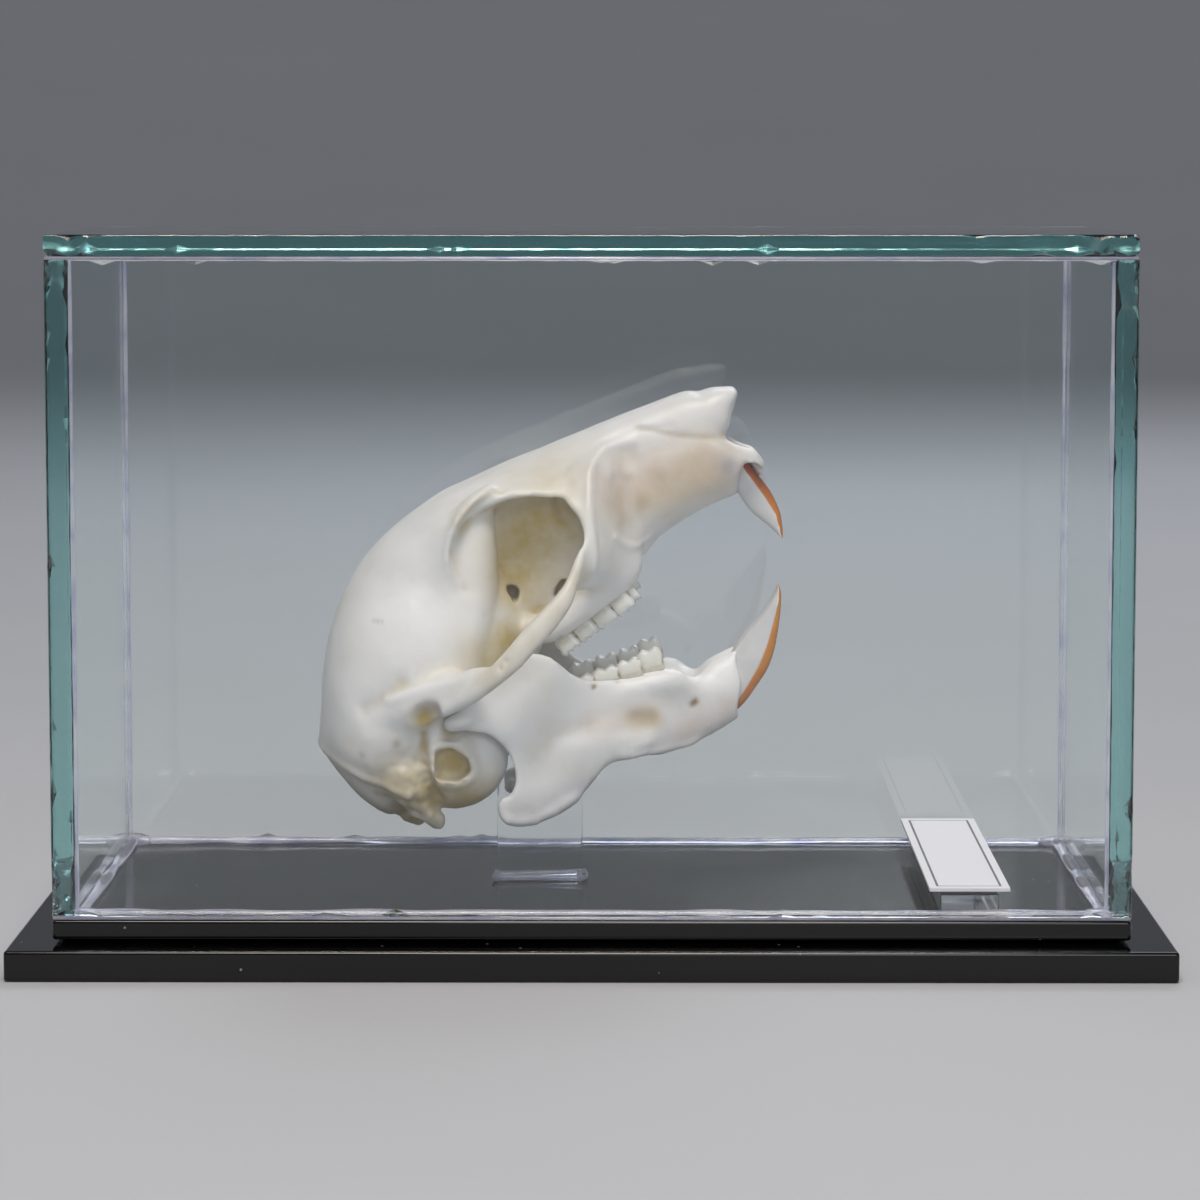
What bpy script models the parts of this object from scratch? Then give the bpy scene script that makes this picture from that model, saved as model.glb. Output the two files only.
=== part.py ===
"""A red squirrel's skull in a small glued glass case, on a black two-step base.

Metres, +Z up. The origin is at the bottom centre of the base, and the skull's nose points
to +X. The skull's own stations are in units of about one millimetre, along axes that lie
with the skull: x towards the nose, y towards the skull's left, z towards its crown. They
are given for one side where the skull is the same on both.
"""

from math import cos, pi, radians, sin

import bmesh
import bpy
from mathutils import Vector

# Case, from the bottom up
CASE_WIDTH = 0.100
CASE_DEPTH = 0.048
GLASS = 0.002
PANE_HEIGHT = 0.0607
GAP = 0.0003  # left between pieces that touch
SLAB_OVERHANG = 0.004
SLAB_HEIGHT = 0.0029
PLINTH_HEIGHT = 0.0019
PLINTH_TOP = SLAB_HEIGHT + GAP + PLINTH_HEIGHT
PANE_BOTTOM = PLINTH_TOP + GAP
GLASS_BEVEL = 0.00015
ACRYLIC_BEVEL = 0.0003

# Stand and label
STAND_CENTRE_X = -0.0052
STAND_WIDTH = 0.0083
STAND_THICKNESS = 0.0026
STAND_LOW_SIDE = 0.0140
STAND_LEDGE = 0.0003
STAND_RISE_END = 0.00165  # from the low side
STAND_TOP = 0.0218
STAND_SLOPE_START = 0.0040  # from the high side
STAND_HIGH_SIDE = 0.0150
LABEL_CENTRE_X = 0.0352
LABEL_WIDTH = 0.0075
LABEL_LENGTH = 0.0424
LABEL_THICKNESS = 0.0003
BLOCK_WIDTH = 0.0055
BLOCK_HEIGHT = 0.0018

# Skull
SKULL_LENGTH = 0.0535  # tip of the nasal bones to the back of the head
UNIT = SKULL_LENGTH / 53.0
SKULL_PLACE = (-0.01133, 0.0, 0.02266)
SKULL_TILT = radians(39.0)  # the nose points up
JAW_PLACE = (0.0006, 0.0, 0.02263)
JAW_TILT = radians(16.0)
SIDES = {"right": -1.0, "left": 1.0}
VOXEL = 0.38  # units
CRANIUM_KEPT = 0.0365  # share of the faces that the finished cranium keeps
JAW_KEPT = 0.075
CLEARANCE = 0.3  # units, left round every tooth
UPWARD = Vector((0, 0, 1))
FORWARD = Vector((1, 0, 0))

COLOURS = {
    "black_acrylic": ((0.004, 0.004, 0.005, 1.0), 0.12),
    "clear_glass": ((0.62, 0.80, 0.78, 1.0), 0.03),
    "clear_acrylic": ((0.80, 0.84, 0.86, 1.0), 0.06),
    "white_card": ((0.80, 0.80, 0.82, 1.0), 0.60),
    "dry_bone": ((0.76, 0.73, 0.62, 1.0), 0.45),
    "tooth_white": ((0.80, 0.80, 0.76, 1.0), 0.30),
    "orange_enamel": ((0.62, 0.22, 0.04, 1.0), 0.25),
}


def clear_scene():
    for thing in list(bpy.data.objects):
        bpy.data.objects.remove(thing, do_unlink=True)


def material(slot, clear=False):
    """The material of one slot, made the first time that it is asked for."""
    if slot in bpy.data.materials:
        return bpy.data.materials[slot]
    colour, roughness = COLOURS[slot]
    made = bpy.data.materials.new(slot)
    made.use_nodes = True
    made.diffuse_color = colour
    shader = made.node_tree.nodes["Principled BSDF"]
    shader.inputs["Base Color"].default_value = colour
    shader.inputs["Roughness"].default_value = roughness
    shader.inputs["Metallic"].default_value = 0.0
    shader.inputs["Transmission Weight"].default_value = 1.0 if clear else 0.0
    return made


def add_object(name, bm, slot, parent=None, clear=False):
    mesh = bpy.data.meshes.new(name)
    bmesh.ops.recalc_face_normals(bm, faces=bm.faces)
    bm.to_mesh(mesh)
    bm.free()
    made = bpy.data.objects.new(name, mesh)
    bpy.context.scene.collection.objects.link(made)
    mesh.materials.append(material(slot, clear))
    made.parent = parent
    return made


def axes(name, place, tilt):
    """An empty whose x axis is raised by the tilt; one unit of it is one unit of the skull."""
    empty = bpy.data.objects.new(name, None)
    bpy.context.scene.collection.objects.link(empty)
    empty.location = place
    empty.rotation_euler = (0.0, -tilt, 0.0)
    empty.scale = (UNIT, UNIT, UNIT)
    return empty


def box(name, centre, size, slot, bevel=0.0, clear=False):
    bm = bmesh.new()
    bmesh.ops.create_cube(bm, size=1.0)
    bmesh.ops.scale(bm, vec=size, verts=bm.verts)
    made = add_object(name, bm, slot, clear=clear)
    made.location = centre
    if bevel:
        rounding = made.modifiers.new("edge", "BEVEL")
        rounding.width = bevel
        rounding.segments = 1
    return made


def build_base():
    slab_size = (CASE_WIDTH + 2 * SLAB_OVERHANG, CASE_DEPTH + 2 * SLAB_OVERHANG, SLAB_HEIGHT)
    box("base_slab", (0, 0, SLAB_HEIGHT / 2), slab_size, "black_acrylic", ACRYLIC_BEVEL)
    plinth_size = (CASE_WIDTH, CASE_DEPTH, PLINTH_HEIGHT)
    plinth_centre = (0, 0, PLINTH_TOP - PLINTH_HEIGHT / 2)
    box("base_plinth", plinth_centre, plinth_size, "black_acrylic", ACRYLIC_BEVEL)


def build_glass():
    """The front and back panes run the full width, the side panes stand between them."""
    middle = PANE_BOTTOM + PANE_HEIGHT / 2
    across = (CASE_WIDTH, GLASS, PANE_HEIGHT)
    along = (GLASS, CASE_DEPTH - 2 * GLASS - 2 * GAP, PANE_HEIGHT)
    front_y = -(CASE_DEPTH - GLASS) / 2
    left_x = -(CASE_WIDTH - GLASS) / 2
    lid_z = PANE_BOTTOM + PANE_HEIGHT + GAP + GLASS / 2
    pieces = {
        "glass_front": ((0, front_y, middle), across),
        "glass_back": ((0, -front_y, middle), across),
        "glass_left": ((left_x, 0, middle), along),
        "glass_right": ((-left_x, 0, middle), along),
        "glass_lid": ((0, 0, lid_z), (CASE_WIDTH, CASE_DEPTH, GLASS)),
    }
    for name, (centre, size) in pieces.items():
        box(name, centre, size, "clear_glass", GLASS_BEVEL, clear=True)


def build_stand():
    """A clear strip whose top is stepped to carry the back and the base of the skull."""
    bm = bmesh.new()
    left = STAND_CENTRE_X - STAND_WIDTH / 2
    right = STAND_CENTRE_X + STAND_WIDTH / 2
    floor = PLINTH_TOP + GAP
    outline = [
        (left, floor),
        (right, floor),
        (right, floor + STAND_HIGH_SIDE),
        (right - STAND_SLOPE_START, floor + STAND_TOP),
        (left + STAND_RISE_END, floor + STAND_TOP),
        (left + STAND_LEDGE, floor + STAND_LOW_SIDE + STAND_LEDGE),
        (left, floor + STAND_LOW_SIDE),
    ]
    front = [bm.verts.new((x, -STAND_THICKNESS / 2, z)) for x, z in outline]
    face = bm.faces.new(front)
    grown = bmesh.ops.extrude_face_region(bm, geom=[face])
    moved = [part for part in grown["geom"] if isinstance(part, bmesh.types.BMVert)]
    bmesh.ops.translate(bm, vec=(0, STAND_THICKNESS, 0), verts=moved)
    add_object("skull_stand", bm, "clear_acrylic", clear=True)


def build_label():
    block_z = PLINTH_TOP + GAP + BLOCK_HEIGHT / 2
    block_size = (BLOCK_WIDTH, LABEL_LENGTH - 2 * GAP, BLOCK_HEIGHT)
    box("label_block", (LABEL_CENTRE_X, 0, block_z), block_size, "clear_acrylic", clear=True)
    card_z = block_z + BLOCK_HEIGHT / 2 + GAP + LABEL_THICKNESS / 2
    card_size = (LABEL_WIDTH, LABEL_LENGTH, LABEL_THICKNESS)
    box("label_card", (LABEL_CENTRE_X, 0, card_z), card_size, "white_card")


def ring_points(centre, across, upright, width, height, corner, sides):
    """A closed rounded ring; corner 1 is an ellipse, and smaller is squarer."""
    points = []
    for step in range(sides):
        turn = 2 * pi * step / sides
        sideways, upward = cos(turn), sin(turn)
        u = abs(sideways) ** corner * (1 if sideways > 0 else -1)
        v = abs(upward) ** corner * (1 if upward > 0 else -1)
        points.append(centre + across * (u * width) + upright * (v * height))
    return points


def loft(bm, rings):
    """A closed skin through the rings, with a flat cap on each end; gives the last cap."""
    rows = [[bm.verts.new(point) for point in ring] for ring in rings]
    sides = len(rows[0])
    for low, high in zip(rows, rows[1:]):
        for step in range(sides):
            after = (step + 1) % sides
            bm.faces.new((low[step], low[after], high[after], high[step]))
    bm.faces.new(rows[0][::-1])
    return bm.faces.new(rows[-1])


def curved(stations, steps=4):
    """More stations between the given ones, along a smooth curve through them."""
    rows = [Vector(station) for station in stations]
    points = []
    for index in range(len(rows) - 1):
        before = rows[max(index - 1, 0)]
        start, end = rows[index], rows[index + 1]
        after = rows[min(index + 2, len(rows) - 1)]
        for step in range(steps):
            t = step / steps
            bend = (end - before) * t + (2 * before - 5 * start + 4 * end - after) * t**2
            bend += (3 * start - before - 3 * end + after) * t**3
            points.append(start + bend / 2)
    return points + [rows[-1]]


def sweep(bm, stations, corner=1.0, sides=18, grow=0.0, up=UPWARD):
    """A tapering body along stations of (x, y, z, half width, half height).

    Each ring stands square to the path, and its height points as near to up as it can.
    """
    stations = curved(stations)
    centres = [Vector(station[:3]) for station in stations]
    rings = []
    for index, (centre, station) in enumerate(zip(centres, stations)):
        before = centres[max(index - 1, 0)]
        after = centres[min(index + 1, len(centres) - 1)]
        path = (after - before).normalized()
        across = up.cross(path).normalized()
        upright = path.cross(across)
        width, height = station[3] + grow, station[4] + grow
        rings.append(ring_points(centre, across, upright, width, height, corner, sides))
    loft(bm, rings)


def upright_sections(bm, stations, corner=1.0, sides=32):
    """A body of upright sections at (x, lowest z, highest z, half width)."""
    rings = []
    for x, low, high, width in curved(stations):
        centre = Vector((x, 0, (low + high) / 2))
        height = (high - low) / 2
        rings.append(
            ring_points(centre, Vector((0, 1, 0)), Vector((0, 0, 1)), width, height, corner, sides)
        )
    loft(bm, rings)


def egg(bm, centre, radii):
    made = bmesh.ops.create_uvsphere(bm, u_segments=16, v_segments=10, radius=1.0)
    bmesh.ops.scale(bm, vec=radii, verts=made["verts"])
    bmesh.ops.translate(bm, vec=centre, verts=made["verts"])


def mirrored(stations, side):
    """The same stations on the left (+1) or the right (-1) of the skull."""
    return [(x, y * side, *rest) for x, y, *rest in stations]


def braincase(bm):
    stations = [
        (-14.4, 0.2, 5.8, 2.6),
        (-14.0, -1.6, 6.9, 6.0),
        (-13.0, -3.5, 8.0, 8.6),
        (-11.0, -4.0, 10.2, 10.3),
        (-8.0, -3.9, 13.2, 11.3),
        (-4.0, -3.5, 16.0, 11.8),
        (0.0, -3.1, 17.6, 11.5),
        (3.0, -2.6, 18.1, 10.7),
        (6.0, -1.2, 18.2, 9.2),
        (8.5, 1.2, 17.8, 7.2),
        (10.2, 3.8, 16.6, 4.4),
    ]
    upright_sections(bm, stations, corner=0.92)


def vault(bm):
    """Frontal bones: a shallow roof whose thin rims overhang the orbits."""
    stations = [
        (2.0, 15.0, 18.0, 8.8, 2.5),
        (6.0, 15.5, 18.15, 9.3, 2.5),
        (9.5, 15.5, 17.95, 9.5, 2.8),
        (12.5, 15.15, 17.3, 9.1, 3.0),
        (15.0, 14.4, 16.65, 8.9, 3.0),
        (17.2, 12.9, 16.05, 8.9, 3.0),
        (19.0, 11.3, 15.5, 8.7, 3.0),
        (21.5, 10.5, 14.7, 7.8, 3.0),
        (25.0, 9.6, 13.55, 6.4, 2.5),
    ]
    rings = []
    for x, edge, crown, width, depth in curved(stations):
        upper, lower = [], []
        for step in range(17):
            u = step / 8 - 1
            top = edge + (crown - edge) * (1 - abs(u) ** 2.6) ** 0.9
            upper.append(Vector((x, u * width, top)))
            lower.append(Vector((x, u * width, top - 0.75 - depth * (1 - u * u))))
        rings.append(upper + lower[::-1])
    loft(bm, rings)


def nasals(bm):
    """The bones of the nose, a rounded roof that runs out over the nostrils."""
    stations = [
        (20.0, 0.0, 12.9, 5.0, 2.2),
        (24.0, 0.0, 11.5, 5.2, 2.4),
        (28.0, 0.0, 9.9, 4.9, 2.75),
        (32.0, 0.0, 8.3, 4.6, 3.05),
        (34.6, 0.0, 7.6, 4.3, 2.75),
        (36.3, 0.0, 7.75, 3.7, 1.8),
        (37.7, 0.0, 7.7, 3.1, 0.75),
        (38.3, 0.0, 7.6, 2.5, 0.45),
    ]
    sweep(bm, stations, corner=0.7)


def face(bm):
    """The narrow wall between the orbits, widening forward into the snout."""
    stations = [
        (6.0, 3.5, 16.5, 5.2),
        (10.0, 3.2, 16.5, 3.9),
        (14.0, 2.2, 15.5, 3.8),
        (18.0, 1.2, 14.3, 5.0),
        (21.0, 1.3, 13.4, 5.9),
        (24.0, 1.4, 12.3, 6.1),
        (27.0, 1.1, 11.2, 5.6),
        (30.0, 0.5, 9.8, 5.2),
        (32.4, -0.2, 9.0, 4.9),
        (33.8, -0.3, 7.4, 4.7),
        (34.7, -0.3, 5.0, 4.4),
        (35.4, -0.1, 3.5, 4.0),
        (36.1, 0.5, 2.5, 3.2),
    ]
    upright_sections(bm, stations, corner=0.72)


def orbit_pillar(bm, side):
    """The front of the braincase, which swells into the back of the orbit."""
    stations = [
        (1.5, 8.2, 3.6, 2.4, 2.2),
        (4.2, 7.4, 6.4, 2.8, 2.6),
        (7.2, 6.6, 9.6, 2.9, 2.7),
        (10.0, 6.0, 12.8, 2.7, 2.4),
        (12.0, 5.6, 15.2, 2.4, 2.0),
    ]
    sweep(bm, mirrored(stations, side))


def cheek_plate(bm, side):
    """The wedge from the orbit's front rim to the plate's ridge and in to the snout."""
    levels = [
        ((21.6, 6.8, 12.3), (26.0, 5.4, 11.9), (27.2, 3.5, 11.0), (22.5, 4.0, 11.5)),
        ((19.3, 8.9, 10.4), (23.0, 7.7, 11.0), (26.4, 4.2, 9.0), (20.5, 5.0, 10.0)),
        ((19.3, 10.1, 8.4), (21.5, 9.2, 9.0), (25.4, 4.5, 6.8), (20.0, 5.2, 7.8)),
        ((18.3, 11.3, 6.5), (19.6, 10.6, 7.0), (24.2, 4.8, 4.6), (19.6, 5.4, 5.2)),
        ((16.4, 12.5, 4.9), (17.5, 11.8, 4.8), (22.2, 5.2, 2.8), (18.4, 5.6, 3.2)),
        ((14.6, 13.0, 3.8), (16.4, 11.6, 3.2), (20.6, 5.6, 1.7), (17.0, 5.8, 2.2)),
        ((13.6, 11.8, 3.0), (15.8, 9.2, 1.7), (19.3, 5.8, 0.6), (16.0, 5.6, 1.2)),
    ]
    corners = [curved([level[corner] for level in levels]) for corner in range(4)]
    loft(bm, [[Vector((x, y * side, z)) for x, y, z in ring] for ring in zip(*corners)])


def cheek_arch(bm, side):
    """The flat arch from the plate back to the ear region, and the mound that it springs from."""
    arch = [
        (18.0, 11.4, 6.0, 0.6, 0.6),
        (16.3, 12.4, 4.7, 0.7, 0.75),
        (14.0, 13.4, 3.35, 0.7, 0.9),
        (11.5, 14.2, 2.8, 0.75, 1.1),
        (9.0, 14.8, 2.45, 0.75, 1.15),
        (6.5, 15.1, 2.05, 0.75, 1.1),
        (4.0, 15.0, 1.85, 0.75, 0.95),
        (1.5, 14.4, 1.85, 0.8, 0.85),
        (-0.5, 13.3, 2.1, 1.0, 0.8),
        (-2.4, 12.0, 2.8, 1.6, 1.0),
        (-4.5, 10.4, 3.8, 1.8, 1.8),
    ]
    sweep(bm, mirrored(arch, side), corner=0.75, sides=14)
    mound = [
        (5.0, 14.9, 1.9, 0.5, 0.5),
        (3.4, 14.0, 2.6, 1.0, 0.8),
        (1.2, 12.6, 3.2, 1.7, 1.1),
        (-1.4, 11.1, 3.8, 2.2, 1.6),
        (-4.5, 9.8, 4.7, 2.5, 2.1),
        (-8.5, 8.6, 5.6, 2.4, 2.4),
    ]
    sweep(bm, mirrored(mound, side))


def brow_horn(bm, side):
    """Postorbital process, a thin horn that bends down behind the orbit."""
    stations = [
        (14.5, 7.4, 15.4, 1.3, 0.5),
        (12.2, 8.4, 15.6, 1.6, 0.55),
        (9.8, 9.1, 15.0, 1.8, 0.6),
        (8.0, 9.5, 13.8, 1.7, 0.65),
        (6.9, 9.6, 12.3, 1.5, 0.65),
        (6.3, 9.4, 10.6, 1.1, 0.6),
        (6.0, 9.1, 9.0, 0.5, 0.4),
    ]
    sweep(bm, mirrored(stations, side), sides=12)
    egg(bm, (5.0, 7.4 * side, 11.2), (3.6, 2.3, 4.6))
    egg(bm, (6.3, 8.0 * side, 14.2), (2.2, 1.5, 1.6))


def upper_jaw_ridge(bm, side):
    """The bone that holds the upper cheek teeth, and the pterygoid blade behind it."""
    ridge = [
        (21.2, 4.6, 2.3, 1.2, 0.9),
        (19.2, 4.6, 1.1, 2.0, 1.8),
        (15.0, 4.7, 1.1, 2.15, 1.9),
        (10.5, 4.7, 1.3, 2.15, 1.7),
        (8.6, 4.4, 2.6, 1.5, 1.4),
    ]
    sweep(bm, mirrored(ridge, side), corner=0.8)
    blade = [
        (10.0, 3.0, 2.8, 0.6, 1.8),
        (6.0, 2.7, 1.4, 0.5, 2.2),
        (2.0, 2.7, -0.8, 0.5, 2.0),
        (0.2, 3.0, -1.9, 0.4, 1.0),
    ]
    sweep(bm, mirrored(blade, side))


def skull_base(bm):
    """Palate and the flat middle of the skull's underside."""
    palate = [(24.0, 0.0, 3.0, 3.5, 1.4), (20.0, 0.0, 1.9, 4.4, 1.1), (9.0, 0.0, 2.1, 4.2, 1.1)]
    sweep(bm, palate, corner=0.8)
    middle = [
        (9.0, 0.0, 4.5, 2.6, 1.6),
        (4.0, 0.0, 0.4, 2.8, 2.2),
        (-2.0, 0.0, -1.6, 3.2, 2.0),
        (-11.0, 0.0, -2.6, 3.4, 1.6),
    ]
    sweep(bm, middle, corner=0.8)


def ear_capsule(bm, side):
    """The round bulla under the ear opening, the ear canal's rim and the bone behind them."""
    egg(bm, (-4.2, 6.8 * side, -3.4), (4.6, 3.6, 3.9))
    egg(bm, (-4.6, 9.3 * side, -2.2), (2.9, 1.8, 3.1))
    egg(bm, (-9.0, 8.6 * side, -0.6), (2.4, 2.0, 3.2))


def back_of_head(bm, side):
    """Condyle, the blunt process beside it, and half of the crest over the neck."""
    egg(bm, (-11.0, 2.9 * side, -3.9), (1.6, 1.5, 1.8))
    process = [
        (-9.4, 8.2, -1.5, 1.8, 1.5),
        (-9.7, 7.8, -3.6, 1.5, 1.2),
        (-9.6, 7.3, -5.4, 1.0, 0.9),
        (-9.4, 7.0, -6.8, 0.5, 0.5),
    ]
    sweep(bm, mirrored(process, side), up=FORWARD)
    crest = [
        (-14.2, -0.3, 6.3, 0.5, 0.5),
        (-13.8, 3.4, 6.0, 0.5, 0.5),
        (-12.9, 6.8, 4.2, 0.5, 0.5),
        (-11.0, 9.1, 0.9, 0.5, 0.5),
        (-9.2, 9.8, -1.6, 0.5, 0.5),
    ]
    sweep(bm, mirrored(crest, side), sides=8)


def window(bm, outline, near, far, side, taper=0.8):
    """An angular opening: a flat outline seen from the side, cut inwards and narrowing."""
    middle = sum((Vector(spot) for spot in outline), Vector((0, 0))) / len(outline)
    rings = []
    for y, share in ((near, taper), (far, 1.0)):
        spots = [middle + (Vector(spot) - middle) * share for spot in outline]
        rings.append([Vector((x, y * side, z)) for x, z in spots])
    loft(bm, rings)


def cranium_hollows(bm):
    """Openings of the nose, throat, neck, ears, eyes and cheeks."""
    nose = [(39.5, 0.0, 3.6, 3.0, 2.8), (36.0, 0.0, 4.3, 2.6, 2.3), (28.5, 0.0, 5.6, 1.9, 1.9)]
    sweep(bm, nose, corner=0.9)
    throat = [(9.5, 0.0, 2.0, 1.7, 1.3), (6.0, 0.0, 0.4, 1.8, 1.6), (1.0, 0.0, -3.2, 2.0, 1.6)]
    sweep(bm, throat, corner=0.8)
    egg(bm, (-14.0, 0.0, -1.6), (3.6, 3.0, 2.5))
    egg(bm, (-9.5, 0.0, 0.5), (4.5, 5.0, 3.5))
    ear = [(-5.1, -0.3), (-3.5, -1.1), (-3.0, -2.9), (-3.5, -4.3), (-5.1, -4.2), (-6.8, -2.7)]
    optic = [(8.8, 7.1), (10.0, 7.2), (10.4, 6.1), (9.7, 5.3), (8.6, 5.5)]
    second = [(14.5, 4.4), (14.5, 3.4), (12.8, 2.9), (11.9, 3.1), (12.9, 4.0)]
    socket = [(34.5, 2.0), (35.5, 1.2), (35.6, -1.5), (31.4, -1.5), (32.2, 0.1)]
    for side in SIDES.values():
        window(bm, ear, 7.6, 12.5, side, taper=0.9)
        window(bm, optic, 0.5, 5.0, side)
        window(bm, second, 0.5, 5.0, side)
        window(bm, socket, 1.85, 6.0, side, taper=1.0)
        egg(bm, (-3.5, 13.0 * side, 2.8), (1.8, 2.1, 1.45))
        egg(bm, (-1.3, 10.7 * side, 0.2), (2.6, 2.0, 1.5))


def skinned(made):
    """One even skin round all that the object is made of so far."""
    skin = made.modifiers.new("skin", "REMESH")
    skin.mode = "VOXEL"
    skin.voxel_size = VOXEL


def finished(made, kept, smoothing):
    """Softens the skin, then keeps only that share of its faces."""
    softened = made.modifiers.new("softened", "SMOOTH")
    softened.factor = 0.5
    softened.iterations = smoothing
    fewer = made.modifiers.new("fewer", "DECIMATE")
    fewer.ratio = kept


def cut(made, name, bm, parent, whole=False):
    """Cuts the shape in bm from the object; the cutter stays in the scene, out of view.

    Where the shape is made of bodies that overlap, whole makes one body of them first.
    """
    cutter = add_object(name, bm, "dry_bone", parent)
    if whole:
        skinned(cutter)
    cutter.hide_render = True
    cutter.display_type = "WIRE"
    cutting = made.modifiers.new(name, "BOOLEAN")
    cutting.operation = "DIFFERENCE"
    cutting.object = cutter


UPPER_INCISOR = [
    (33.9, 1.15, 2.4, 0.60, 1.10),
    (33.6, 1.15, 1.0, 0.62, 1.20),
    (33.5, 1.05, -0.6, 0.75, 1.30),
    (33.4, 0.95, -2.2, 0.75, 1.30),
    (33.35, 0.92, -3.8, 0.72, 0.95),
    (33.1, 0.90, -5.2, 0.68, 0.45),
    (32.85, 0.90, -6.1, 0.60, 0.10),
]
LOWER_INCISOR = [
    (12.6, 1.50, -2.7, 0.60, 1.30),
    (13.9, 1.42, -1.45, 0.68, 1.60),
    (15.15, 1.30, 0.0, 0.74, 1.85),
    (16.45, 1.10, 1.4, 0.75, 1.60),
    (17.8, 0.95, 2.95, 0.74, 1.05),
    (18.85, 0.90, 4.4, 0.70, 0.60),
    (19.5, 0.88, 5.5, 0.62, 0.26),
    (19.62, 0.88, 6.1, 0.55, 0.08),
]


def build_incisors(name, stations, parent):
    for side_name, side in SIDES.items():
        bm = bmesh.new()
        sweep(bm, mirrored(stations, side), corner=0.75, sides=10, up=FORWARD)
        add_object(f"{name}_{side_name}", bm, "orange_enamel", parent)


def incisor_socket(bm, stations, side):
    """The first three stations are the root, which sits in the socket."""
    root = mirrored(stations[:3], side)
    sweep(bm, root, corner=0.75, sides=10, grow=CLEARANCE, up=FORWARD)


# Cheek teeth, front to back: x, half length, half width, crown height
UPPER_TEETH = [
    (19.15, 0.45, 0.50, 0.8),
    (17.5, 0.95, 1.10, 1.5),
    (15.3, 1.0, 1.15, 1.4),
    (13.05, 1.0, 1.15, 1.4),
    (10.85, 0.95, 1.10, 1.2),
]
LOWER_TEETH = [
    (6.1, 0.95, 0.85, 1.9),
    (3.85, 1.05, 1.0, 1.35),
    (1.5, 1.05, 1.05, 1.3),
    (-0.95, 1.15, 1.05, 1.2),
]
UPPER_ROW = (4.7, 4.7, -0.55)  # y of the first and last tooth, z of the bone's edge
LOWER_ROW = (4.6, 5.5, 2.35)
ROOT_DEPTH = 0.9
CUSP_HEIGHT = 0.35


def row_y(teeth, row, x):
    """The row runs straight from its first tooth to its last."""
    first_y, last_y, _ = row
    return first_y + (last_y - first_y) * (teeth[0][0] - x) / (teeth[0][0] - teeth[-1][0])


def tooth(bm, centre, length, width, height, crown):
    """Root, neck and crown of a cheek tooth; crown is +1 for up and -1 for down."""
    sides = 8
    levels = [(-ROOT_DEPTH, 0.72), (0.1, 0.88), (0.4 * height, 1.0), (height, 0.95)]
    rings = []
    for level, share in levels:
        ring = ring_points(
            centre + Vector((0, 0, crown * level)),
            Vector((1, 0, 0)),
            Vector((0, 1, 0)),
            length * share,
            width * share,
            0.7,
            sides,
        )
        rings.append(ring)
    for step in range(0, sides, 2):
        rings[-1][step] -= Vector((0, 0, crown * CUSP_HEIGHT))
    chewing_face = loft(bm, rings)
    basin = bmesh.ops.poke(bm, faces=[chewing_face])
    bmesh.ops.translate(bm, vec=(0, 0, -crown * CUSP_HEIGHT), verts=basin["verts"])


def build_cheek_teeth(name, teeth, row, crown, parent):
    for side_name, side in SIDES.items():
        for number, (x, length, width, height) in enumerate(teeth, start=1):
            bm = bmesh.new()
            centre = Vector((x, side * row_y(teeth, row, x), row[2]))
            tooth(bm, centre, length, width, height, crown)
            add_object(f"{name}_{side_name}_{number}", bm, "tooth_white", parent)


def tooth_trough(bm, teeth, row, crown, side):
    """Room in the bone for the roots of one row, open past the crowns."""
    deep = row[2] - crown * (ROOT_DEPTH + CLEARANCE)
    clear = row[2] + crown * 2.2
    front = teeth[0][0] + teeth[0][1] + CLEARANCE
    back = teeth[-1][0] - teeth[-1][1] - CLEARANCE
    widest = max(width for _, _, width, _ in teeth) + CLEARANCE
    rings = []
    for x in (front, back):
        centre = Vector((x, side * row_y(teeth, row, x), (deep + clear) / 2))
        height = abs(clear - deep) / 2
        rings.append(
            ring_points(centre, Vector((0, 1, 0)), Vector((0, 0, 1)), widest, height, 0.35, 12)
        )
    loft(bm, rings)


def build_cranium(parent):
    bm = bmesh.new()
    braincase(bm)
    vault(bm)
    nasals(bm)
    face(bm)
    skull_base(bm)
    for side in SIDES.values():
        orbit_pillar(bm, side)
        cheek_plate(bm, side)
        cheek_arch(bm, side)
        brow_horn(bm, side)
        upper_jaw_ridge(bm, side)
        ear_capsule(bm, side)
        back_of_head(bm, side)
    cranium = add_object("cranium", bm, "dry_bone", parent)
    skinned(cranium)
    hollows = bmesh.new()
    cranium_hollows(hollows)
    cut(cranium, "cranium_hollows", hollows, parent, whole=True)
    skinned(cranium)
    finished(cranium, CRANIUM_KEPT, smoothing=4)
    for side_name, side in SIDES.items():
        sockets = bmesh.new()
        incisor_socket(sockets, UPPER_INCISOR, side)
        cut(cranium, f"upper_socket_{side_name}", sockets, parent)
        trough = bmesh.new()
        tooth_trough(trough, UPPER_TEETH, UPPER_ROW, -1.0, side)
        cut(cranium, f"upper_trough_{side_name}", trough, parent)


# Side outline of a jaw half behind its tooth row: condyle, coronoid, body and angle
JAW_OUTLINE = [
    (-13.2, 3.6),
    (-11.6, 4.6),
    (-9.8, 5.3),
    (-8.2, 6.0),
    (-6.7, 7.3),
    (-5.2, 7.3),
    (-3.0, 6.3),
    (-0.6, 3.2),
    (5.0, 1.6),
    (8.5, 0.2),
    (9.0, -5.2),
    (6.4, -6.0),
    (0.3, -5.3),
    (-1.9, -6.2),
    (-4.2, -7.5),
    (-6.4, -8.2),
    (-9.1, -8.4),
    (-10.9, -7.8),
    (-11.7, -6.6),
    (-11.2, -5.2),
    (-10.0, -5.0),
    (-9.2, -3.4),
    (-9.3, -1.0),
    (-10.4, 1.0),
    (-12.6, 2.2),
]
JAW_HALF_THICKNESS = 0.65


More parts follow.
